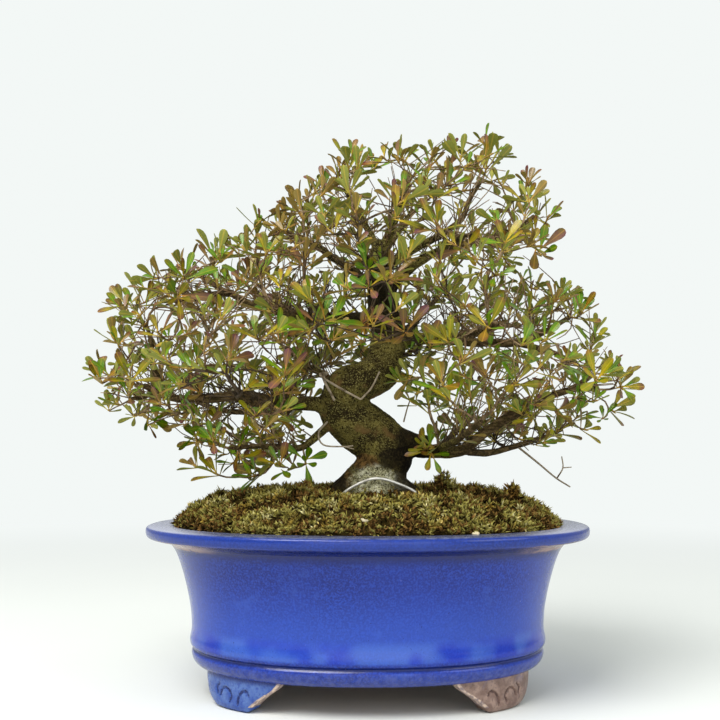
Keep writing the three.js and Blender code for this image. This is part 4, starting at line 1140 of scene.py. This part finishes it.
def thick_wood():
    """Trunk, roots and the first stretch of each limb, before they are melted together."""
    form = Form()
    line = TRUNK_LINE
    turn = turns_of(60)
    low = np.clip((FLARE["below"] - line[:, 2]) / FLARE["over"], 0, 1)[:, None]
    ribs = 1 + FLARE["depth"] * low * np.cos(FLARE["ribs"] * (turn + 0.3))[None]
    form.add(*tube(line, line[:, 3:4] * ribs, 60))
    for root in ROOTS:
        path = smooth_line(root, 2)
        form.add(*tube(path, path[:, 3], 20))
    for path, radii in LIMB_LINES:
        keep = max(4, int(len(path) * MELTED_SHARE))
        share = np.linspace(0, 1, keep)
        collar = 1 + COLLAR["share"] * np.exp(-share * COLLAR["fades"])
        thick = radii[:keep] * collar + COLLAR["over"] - COLLAR["sinks"] * share
        form.add(*tube(path[:keep], thick, 16))
    return form


def weathered(piece):
    """Moves the melted wood's points in and out: long ridges that follow the trunk, knots and fine grain."""
    mesh = piece.data
    count = len(mesh.vertices)
    place = np.zeros(count * 3, np.float32)
    normal = np.zeros(count * 3, np.float32)
    mesh.vertices.foreach_get("co", place)
    mesh.vertices.foreach_get("normal", normal)
    place = place.reshape(-1, 3) / MM
    normal = normal.reshape(-1, 3)
    line = TRUNK_LINE
    _, first, second = frames_along(line[:, :3])
    nearest = np.concatenate([
        ((part[:, None] - line[None, :, :3]) ** 2).sum(-1).argmin(1)
        for part in np.array_split(place, count // 20000 + 1)  # a part at a time, to save memory
    ])
    out = place - line[nearest, :3]
    turn = np.arctan2((out * second[nearest]).sum(1), (out * first[nearest]).sum(1))
    run = along_of(line)[nearest] * TRUNK_LENGTH
    thick = line[nearest, 3]
    away = np.linalg.norm(out, axis=1)
    on_trunk = np.clip(1.5 - away / np.maximum(thick, 1) * 0.9, 0, 1)
    round_trunk = [wave(turn) * thick / RIDGES["wide"] for wave in (np.cos, np.sin)]
    ridges = 1 - np.abs(rough(np.column_stack([*round_trunk, run / RIDGES["long"]]), 1, 3)) * 2
    move = (RIDGES["depth"] * (ridges - 0.4) + KNOTS["depth"] * rough(place, KNOTS["size"], 2)) * on_trunk
    move += GRAIN["depth"] * rough(place, GRAIN["size"], 3)
    place = (place + normal * move[:, None]) * MM
    mesh.vertices.foreach_set("co", place.astype(np.float32).ravel())
    mesh.update()


def melted(piece):
    """Fuses overlapping closed forms into one skin, and smooths the steps of the remesh."""
    remesh = piece.modifiers.new("melt", "REMESH")
    remesh.mode = "VOXEL"
    remesh.voxel_size = MELT_VOXEL * MM
    remesh.use_smooth_shade = True
    ease = piece.modifiers.new("ease", "SMOOTH")
    ease.iterations = MELT_SMOOTHING
    ease.factor = 0.5
    apply_modifiers(piece)


def make_wood():
    bark_paint = bark()
    trunk = add_piece("trunk_bark", thick_wood(), [bark_paint])
    melted(trunk)
    weathered(trunk)
    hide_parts("tree_wood")
    limbs = Form()
    for path, radii in LIMB_LINES:
        limbs.add(*tube(path, radii[:, None] * (1 + 0.1 * np.cos(2 * turns_of(12))), 12))
    for start, end, points in DEAD_TWIGS:
        path = smooth_line(points, 2)
        limbs.add(*tube(path, start + (end - start) * along_of(path), 8), 1)
    add_piece("limbs_bark", limbs, [bark_paint, dead_wood()], sharp=70)


# ---------------------------------------------------------------- twigs


class Growth:
    """The living wood as a tree of points. Each has a place, a direction, the point it grows from, the way
    to the trunk's foot and the limb it belongs to."""

    def __init__(self, room=30000):
        self.place = np.zeros((room, 3))
        self.direction = np.zeros((room, 3))
        self.parent = np.full(room, -1)
        self.way = np.zeros(room)
        self.limb = np.zeros(room, int)
        self.count = 0

    def add(self, place, direction, parent, way, limb):
        number = self.count
        self.place[number], self.direction[number] = place, direction
        self.parent[number], self.way[number], self.limb[number] = parent, way, limb
        self.count += 1
        return number

    def add_line(self, line, limb, parent=-1, way=0.0):
        """Adds a line's points one after another and returns their numbers."""
        tangents = unit(np.gradient(line, axis=0))
        numbers = []
        for k, place in enumerate(line):
            if k:
                way += np.linalg.norm(place - line[k - 1])
            parent = self.add(place, tangents[k], parent, way, limb)
            numbers.append(parent)
        return numbers

    def best_start(self, target):
        """The point that a twig to the target grows from: near, and heading roughly the right way."""
        toward = target - self.place[:self.count]
        distance = np.linalg.norm(toward, axis=1)
        heading = (toward * self.direction[:self.count]).sum(1) / np.maximum(distance, 1e-6)
        cost = distance * (1.35 - 0.35 * heading) + 0.12 * self.way[:self.count]
        return int(cost.argmin())


def limb_starts(growth):
    """Puts the limbs in the growth, beyond the stretch that is bare."""
    for number, (line, _) in enumerate(LIMB_LINES):
        bare = int(len(line) * BARE_SHARE)
        growth.add_line(line[bare::2], number, way=np.linalg.norm(line[0] - ROOT_BASE))


def in_box(place, box):
    return all(low < value < high for value, (low, high) in zip(place, box))


def depth_in_crown(spot):
    """How far inside the crown's outline a spot lies, in mm. Below 0 it is outside."""
    near = 1 - (spot[1] / CROWN_HALF_DEPTH) ** 2
    if near <= 0:
        return -1.0
    scale = near**CROWN_FALL
    middle = np.array(CROWN_MIDDLE, float)
    flat = middle + (np.array((spot[0], spot[2])) - middle) / scale
    start = np.array(CROWN, float)
    end = np.roll(start, -1, 0)
    side = end - start
    share = np.clip(((flat - start) * side).sum(1) / (side**2).sum(1), 0, 1)
    distance = np.linalg.norm(start + side * share[:, None] - flat, axis=1).min() * scale
    crossing = (start[:, 1] > flat[1]) != (end[:, 1] > flat[1])
    reach = start[:, 0] + side[:, 0] * (flat[1] - start[:, 1]) / np.where(side[:, 1] == 0, 1, side[:, 1])
    inside = (crossing & (flat[0] < reach)).sum() % 2 == 1
    front = (CROWN_HALF_DEPTH - abs(spot[1])) * 0.8
    return min(distance, front) if inside else -distance


def too_close(spot, others, distance):
    return len(others) > 0 and ((others - spot) ** 2).sum(1).min() < distance**2


def in_hole(spot):
    """Whether a spot lies in one of the holes that are seen through the leaves from the front."""
    sizes = Vector((HOLES["wide"], HOLES["foot_shade"], HOLES["wide"]))
    place = Vector(a / b for a, b in zip(spot, sizes)) + Vector(HOLES["shift"])
    return noise.noise(place) > HOLES["left" if spot[0] < 0 else "right"]


def tip_targets(growth, rng):
    """Spots for the leafy tips: the shoots that stand out, and more that are spread evenly over the outside
    of the crown, fewer inside it, clear of the trunk and inside the CAD's box. The nearest to the wood come
    first."""
    low, high = [np.array(corner) / MM for corner in CAD_BOX]
    low, high = low + CAD_INSET, high - CAD_INSET
    low[2] = min(z for _, z in CROWN)
    wood = growth.place[:growth.count]
    chosen = np.array([place for place, _ in SHOOTS], float)
    for spot in rng.uniform(low, high, (TIP_TRIES, 3)):
        bay = BAYS["depth"] * noise.noise(Vector(spot) / BAYS["size"])
        depth = depth_in_crown(spot) - bay
        if depth < TIP_INSET or any(in_box(spot, box) for box in OPEN_AROUND_TRUNK):
            continue
        if in_hole(spot):
            continue
        inner = min(1, (depth - TIP_INSET) / SHELL)
        if too_close(spot, chosen, TIP_SPACING[0] + (TIP_SPACING[1] - TIP_SPACING[0]) * inner):
            continue
        if inner == 1 and rng.random() > INNER_SHARE:
            continue
        if not too_close(spot, wood, TIP_CLEARANCE):
            chosen = np.vstack([chosen, spot])
    sizes = rng.uniform(*LEAF_LENGTH, len(chosen))
    sizes[:len(SHOOTS)] = [size for _, size in SHOOTS]
    nearness = [((wood - spot) ** 2).sum(1).min() for spot in chosen]
    order = np.argsort(nearness)
    return chosen[order], sizes[order]


def twig_line(start, heading, target, rng):
    """A bowed line that leaves the wood slantwise and turns up towards its tip."""
    span = target - start
    length = np.linalg.norm(span)
    leave = unit(span / length + 0.55 * heading + rng.normal(0, 0.22, 3))
    arrive = unit(span / length + (0, 0, 0.45) + rng.normal(0, 0.2, 3))
    t = np.linspace(0, 1, max(3, round(length / 4) + 1))
    curve = bend(t, start, target, leave * length, arrive * length)
    curve[1:-1] += rng.normal(0, 0.35, curve[1:-1].shape)
    return curve


def grow_twigs(rng):
    """Grows a twig to each target. Returns the growth, how many of its points are limb, each twig's points
    from the wood to its tip, and the length of the leaves there."""
    growth = Growth()
    limb_starts(growth)
    limb_points = growth.count
    twigs = []
    targets, sizes = tip_targets(growth, rng)
    for target in targets:
        start = growth.best_start(target)
        line = twig_line(growth.place[start], growth.direction[start], target, rng)
        numbers = growth.add_line(line[1:], growth.limb[start], start, growth.way[start])
        twigs.append([start, *numbers])
    return growth, limb_points, twigs, sizes


def twig_radii(growth, twigs):
    """Each point's radius, from the number of tips that it carries."""
    tips = np.zeros(growth.count)
    for twig in twigs:
        tips[twig[-1]] += 1
    for number in range(growth.count - 1, -1, -1):
        if growth.parent[number] >= 0:
            tips[growth.parent[number]] += tips[number]
    return TWIG_TIP_RADIUS * np.maximum(tips, 1) ** TWIG_POWER


def old_twigs(growth, limb_points, rng):
    """Thin leafless twigs inside the crown. Every second one leaves a limb, the others leave living twigs."""
    lines = []
    while len(lines) < OLD_TWIGS:
        number = int(rng.integers(0, growth.count if len(lines) % 2 else limb_points))
        start, heading = growth.place[number], growth.direction[number]
        out = unit(heading * rng.uniform(0.2, 1.3) + rng.normal(0, 0.6, 3) + (0, 0, 0.35))
        length = rng.uniform(*OLD_TWIG_LENGTH)
        t = np.linspace(0, 1, 4)[:, None]
        line = start + out * length * t + rng.normal(0, 0.14, 3) * length * t**2
        line[1:] += rng.normal(0, 0.35, (3, 3))
        if in_hole(line[-1]) and rng.random() < 0.6:
            continue
        if depth_in_crown(line[-1]) > 7 and not any(in_box(line[-1], box) for box in OPEN_AROUND_TRUNK):
            lines.append((growth.limb[number], line))
    return lines


# ---------------------------------------------------------------- leaves

# Places along a leaf, and its half width there, as a share of the greatest.
LEAF_ALONG = np.array([0, 0.16, 0.36, 0.56, 0.74, 0.88, 0.965])
LEAF_OUTLINE = np.array([0.1, 0.14, 0.38, 0.72, 0.98, 0.92, 0.56])


def leaf_faces():
    """The upper side's faces and the lower side's faces of one leaf. Each row has a left, middle and right
    point above, and the lower side has a middle point of its own. Both sides share the rim."""
    rows = len(LEAF_ALONG)
    tip, under = rows * 3, rows * 3 + 1
    top, below = [], []
    for row in range(rows - 1):
        left, middle, right, low = row * 3, row * 3 + 1, row * 3 + 2, under + row
        top += [(left, left + 3, middle + 3, middle), (middle, middle + 3, right + 3, right)]
        below += [(left, low, low + 1, left + 3), (low, right, right + 3, low + 1)]
    last, low = (rows - 1) * 3, under + rows - 1
    top_end = [(last, tip, last + 1), (last + 1, tip, last + 2)]
    below_end = [(last, low, tip), (low, last + 2, tip)]
    base = [(0, 1, under), (1, 2, under)]
    return [np.array(part) for part in (top, top_end, below, below_end, base)]


LEAF_FACES = leaf_faces()


def leaf_points(lengths, widths, folds, curls, twists):
    """Points of each leaf in its own frame: x along, y across, z towards the light. The leaf's two halves
    lift by fold, it curls down by curl and turns by twist on the way to the tip."""
    rows = len(LEAF_ALONG)
    along = np.concatenate([np.repeat(LEAF_ALONG, 3), [1.0], LEAF_ALONG])
    across = np.concatenate([np.outer(LEAF_OUTLINE, (-1, 0, 1)).ravel(), [0.0], np.zeros(rows)])
    thick = np.concatenate([np.zeros(rows * 3 + 1), np.linspace(1.5, 0.8, rows)])
    x = np.outer(lengths, along)
    y = np.outer(widths / 2, across)
    z = np.abs(y) * folds[:, None] - np.outer(curls * lengths, along**2)
    turn = np.outer(twists, along)
    y, z = y * np.cos(turn) - z * np.sin(turn), y * np.sin(turn) + z * np.cos(turn)
    spots = np.column_stack([across / 2 + 0.5, along])
    return np.stack([x, y, z - LEAF_THICKNESS * thick[None]], -1), spots


def add_leaves(form, bases, directions, faces_up, lengths, kinds, rng):
    """Sets one leaf at each base."""
    n = len(bases)
    widths = lengths * LEAF_WIDTH * rng.uniform(0.82, 1.15, n)
    folds = rng.uniform(0.05, 0.45, n)
    curls = rng.normal(0.07, 0.09, n)
    twists = rng.normal(0, 0.25, n)
    points, spots = leaf_points(lengths, widths, folds, curls, twists)
    ahead = unit(directions)
    side = unit(np.cross(faces_up, ahead))
    up = np.cross(ahead, side)
    frames = np.stack([ahead, side, up], 1)
    placed = np.einsum("nkc,ncd->nkd", points, frames) + bases[:, None]
    per = points.shape[1]
    offset = np.arange(n) * per
    backs = len(LEAF_TONES) + np.isin(kinds, RED_KINDS).astype(int)
    faces, face_kinds = [], []
    for part, upper in zip(LEAF_FACES, (True, True, False, False, False)):
        faces.append((offset[:, None, None] + part).reshape(-1, part.shape[1]))
        face_kinds.append(np.repeat(kinds if upper else backs, len(part)))
    form.add(placed.reshape(-1, 3), faces, face_kinds, np.tile(spots, (n, 1)))


def rosette(end, shoot, size, sun, rng):
    """Bases, directions, upward sides, lengths and kinds of the leaves at one shoot's end: a bouquet that
    opens upwards, its outer leaves longer, wider apart and set further back along the shoot. sun is how much
    sun it gets, from 0 to 1: leaves in the sun are bronze, and those in the shade are greener."""
    count = int(rng.integers(*LEAVES_IN_ROSETTE, endpoint=True))
    shoot = unit(shoot)
    axis = unit(shoot * 0.7 + (0, 0, 0.55) + rng.normal(0, 0.12, 3))
    first = unit(np.cross(axis, rng.normal(size=3)))
    second = np.cross(axis, first)
    k = np.arange(count)
    turn = rng.uniform(0, 2 * math.pi) + k * math.radians(GOLDEN_ANGLE) + rng.normal(0, 0.15, count)
    open_angle = np.radians(LEAF_OPENING[0] - LEAF_OPENING[1] * k / count + rng.normal(0, 10, count))
    radial = np.cos(turn)[:, None] * first + np.sin(turn)[:, None] * second
    directions = axis * np.cos(open_angle)[:, None] + radial * np.sin(open_angle)[:, None]
    faces_up = axis * np.sin(open_angle)[:, None] - radial * np.cos(open_angle)[:, None]
    lengths = size * (1.05 - 0.42 * k / count) * rng.uniform(0.82, 1.12, count)
    back = (count - k) * 0.5 + np.where(k < 2, rng.uniform(0, 3.5, count), 0)
    bases = end - shoot * back[:, None] + radial * 0.3
    chances = SUNNY * sun + SHADED * (1 - sun)
    main = rng.choice(len(LEAF_TONES), p=chances)
    kinds = np.where(rng.random(count) < ALIKE, main, rng.choice(len(LEAF_TONES), count, p=chances))
    return bases, directions, faces_up, lengths, kinds


def add_bud(form, end, shoot):
    """The bud in the middle of a rosette."""
    line = end + unit(shoot) * np.array([-4, -1, 0.6, 1.8])[:, None]
    form.add(*tube(line, [0.45, 0.7, 0.6, 0.1], 5), SHOOT_KIND)


def make_foliage():
    rng = np.random.default_rng(FOLIAGE_SEED)
    growth, limb_points, twigs, sizes = grow_twigs(rng)
    radii = twig_radii(growth, twigs)
    bare = old_twigs(growth, limb_points, rng)
    names = [limb[0] for limb in LIMBS]
    paints = foliage_paints()
    top = CAD_BOX[1][2] / MM
    for piece_name, limbs in FOLIAGE.items():
        members = {names.index(limb) for limb in limbs}
        form = Form()
        leaves = []
        for twig, size in zip(twigs, sizes):
            if growth.limb[twig[0]] not in members:
                continue
            line = growth.place[twig]
            form.add(*tube(line, radii[[twig[1], *twig[1:]]], 5), TWIG_KIND)
            shoot = line[-1] - line[-2]
            sun = (line[-1][2] - SHADE_BELOW) / (top - SHADE_BELOW)
            sun -= GREENER_RIGHT["by"] * (line[-1][0] > GREENER_RIGHT["from"])
            leaves.append(rosette(line[-1], shoot, size, np.clip(sun, 0, 1), rng))
            add_bud(form, line[-1], shoot)
        for limb, line in bare:
            if limb in members:
                form.add(*tube(line, np.linspace(0.42, 0.25, len(line)), 4), TWIG_KIND)
        parts = [np.concatenate(part) for part in zip(*leaves)]
        add_leaves(form, *parts, rng)
        piece = add_piece(piece_name, form, paints, spots=True, sharp=100)
        sprays = [n for limb in limbs for n in frame["nodes"] if n.rsplit("_", 1)[0] == "spray_" + limb]
        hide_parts(*sprays)


# ---------------------------------------------------------------- carried-over nodes, stage, light, camera


def finish_nodes():
    net = plain_paint("drain_net_plastic")
    for node, material in (("soil", soil_paint()), ("drain_mesh_left", net), ("drain_mesh_right", net)):
        materials = frame["nodes"][node].data.materials
        materials.clear()
        materials.append(material)


def make_floor():
    """A plain pale floor. Far out it takes the backdrop's own brightness, so that no horizon shows."""
    paint = Paint("studio_floor", specular=0)
    paint.base(paint.noise(300, 2), (214, 217, 214), (220, 223, 220))
    squares = [paint.maths("POWER", paint.axis(name), 2) for name in "XY"]
    far = paint.step(paint.maths("SQRT", paint.maths("ADD", *squares)), *FLOOR_FADE)
    paint.over((0, 0, 0), far)
    paint.shader["Emission Color"].default_value = BACKDROP
    paint.put(paint.shader["Emission Strength"], paint.times(far, WORLD_LIGHT["backdrop"]))
    form = Form()
    corners = [(-1, -1, 0), (1, -1, 0), (1, 1, 0), (-1, 1, 0)]
    form.add(np.array(corners) * FLOOR_REACH, [np.arange(4)[None]])
    mesh_object("studio_floor", form, [paint.finish(0.9)])


def add_light(name, place, size, power, colour):
    """A soft light that shines at the middle of the object."""
    light = bpy.data.lights.new(name, "AREA")
    light.shape = "RECTANGLE"
    light.size, light.size_y = size
    light.energy = power
    light.color = colour
    lamp = new_object(name, light)
    lamp.location = place
    lamp.rotation_euler = (Vector((0, 0, 0.15)) - Vector(place)).to_track_quat("-Z", "Y").to_euler()


def make_light():
    """Light from all round, a little more from above, and three soft lamps. The camera sees the backdrop's
    own brightness."""
    world = bpy.data.worlds.new("studio")
    bpy.context.scene.world = world
    world.use_nodes = True
    nodes = Nodes(world.node_tree)
    place = nodes.add("ShaderNodeTexCoord", {}, "Generated")
    height = nodes.add("ShaderNodeSeparateXYZ", {"Vector": place}, "Z")
    ends = {"Value": height, "From Min": -0.2, "To Min": WORLD_LIGHT["low"], "To Max": WORLD_LIGHT["high"]}
    seen = nodes.add("ShaderNodeLightPath", {}, "Is Camera Ray")
    sky = nodes.add("ShaderNodeMapRange", ends)
    background = world.node_tree.nodes["Background"].inputs
    background["Color"].default_value = BACKDROP
    share = nodes.add("ShaderNodeMix", {0: seen, 2: sky, 3: WORLD_LIGHT["backdrop"]})
    nodes.put(background["Strength"], share)
    for lamp in LAMPS:
        add_light(*lamp)


def make_camera():
    data = bpy.data.cameras.new("camera")
    data.lens = LENS
    data.sensor_width = SENSOR
    data.clip_start = 0.01
    camera = new_object("camera", data)
    camera.location = [value * MM for value in CAMERA_PLACE]
    camera.rotation_euler = (math.radians(CAMERA_TILT), 0, 0)
    bpy.context.scene.camera = camera


make_camera()
make_light()
make_floor()
make_pot()
make_moss()
make_pebbles()
make_wire()
make_wood()
make_foliage()
finish_nodes()
bpy.context.scene.view_settings.view_transform = "Standard"
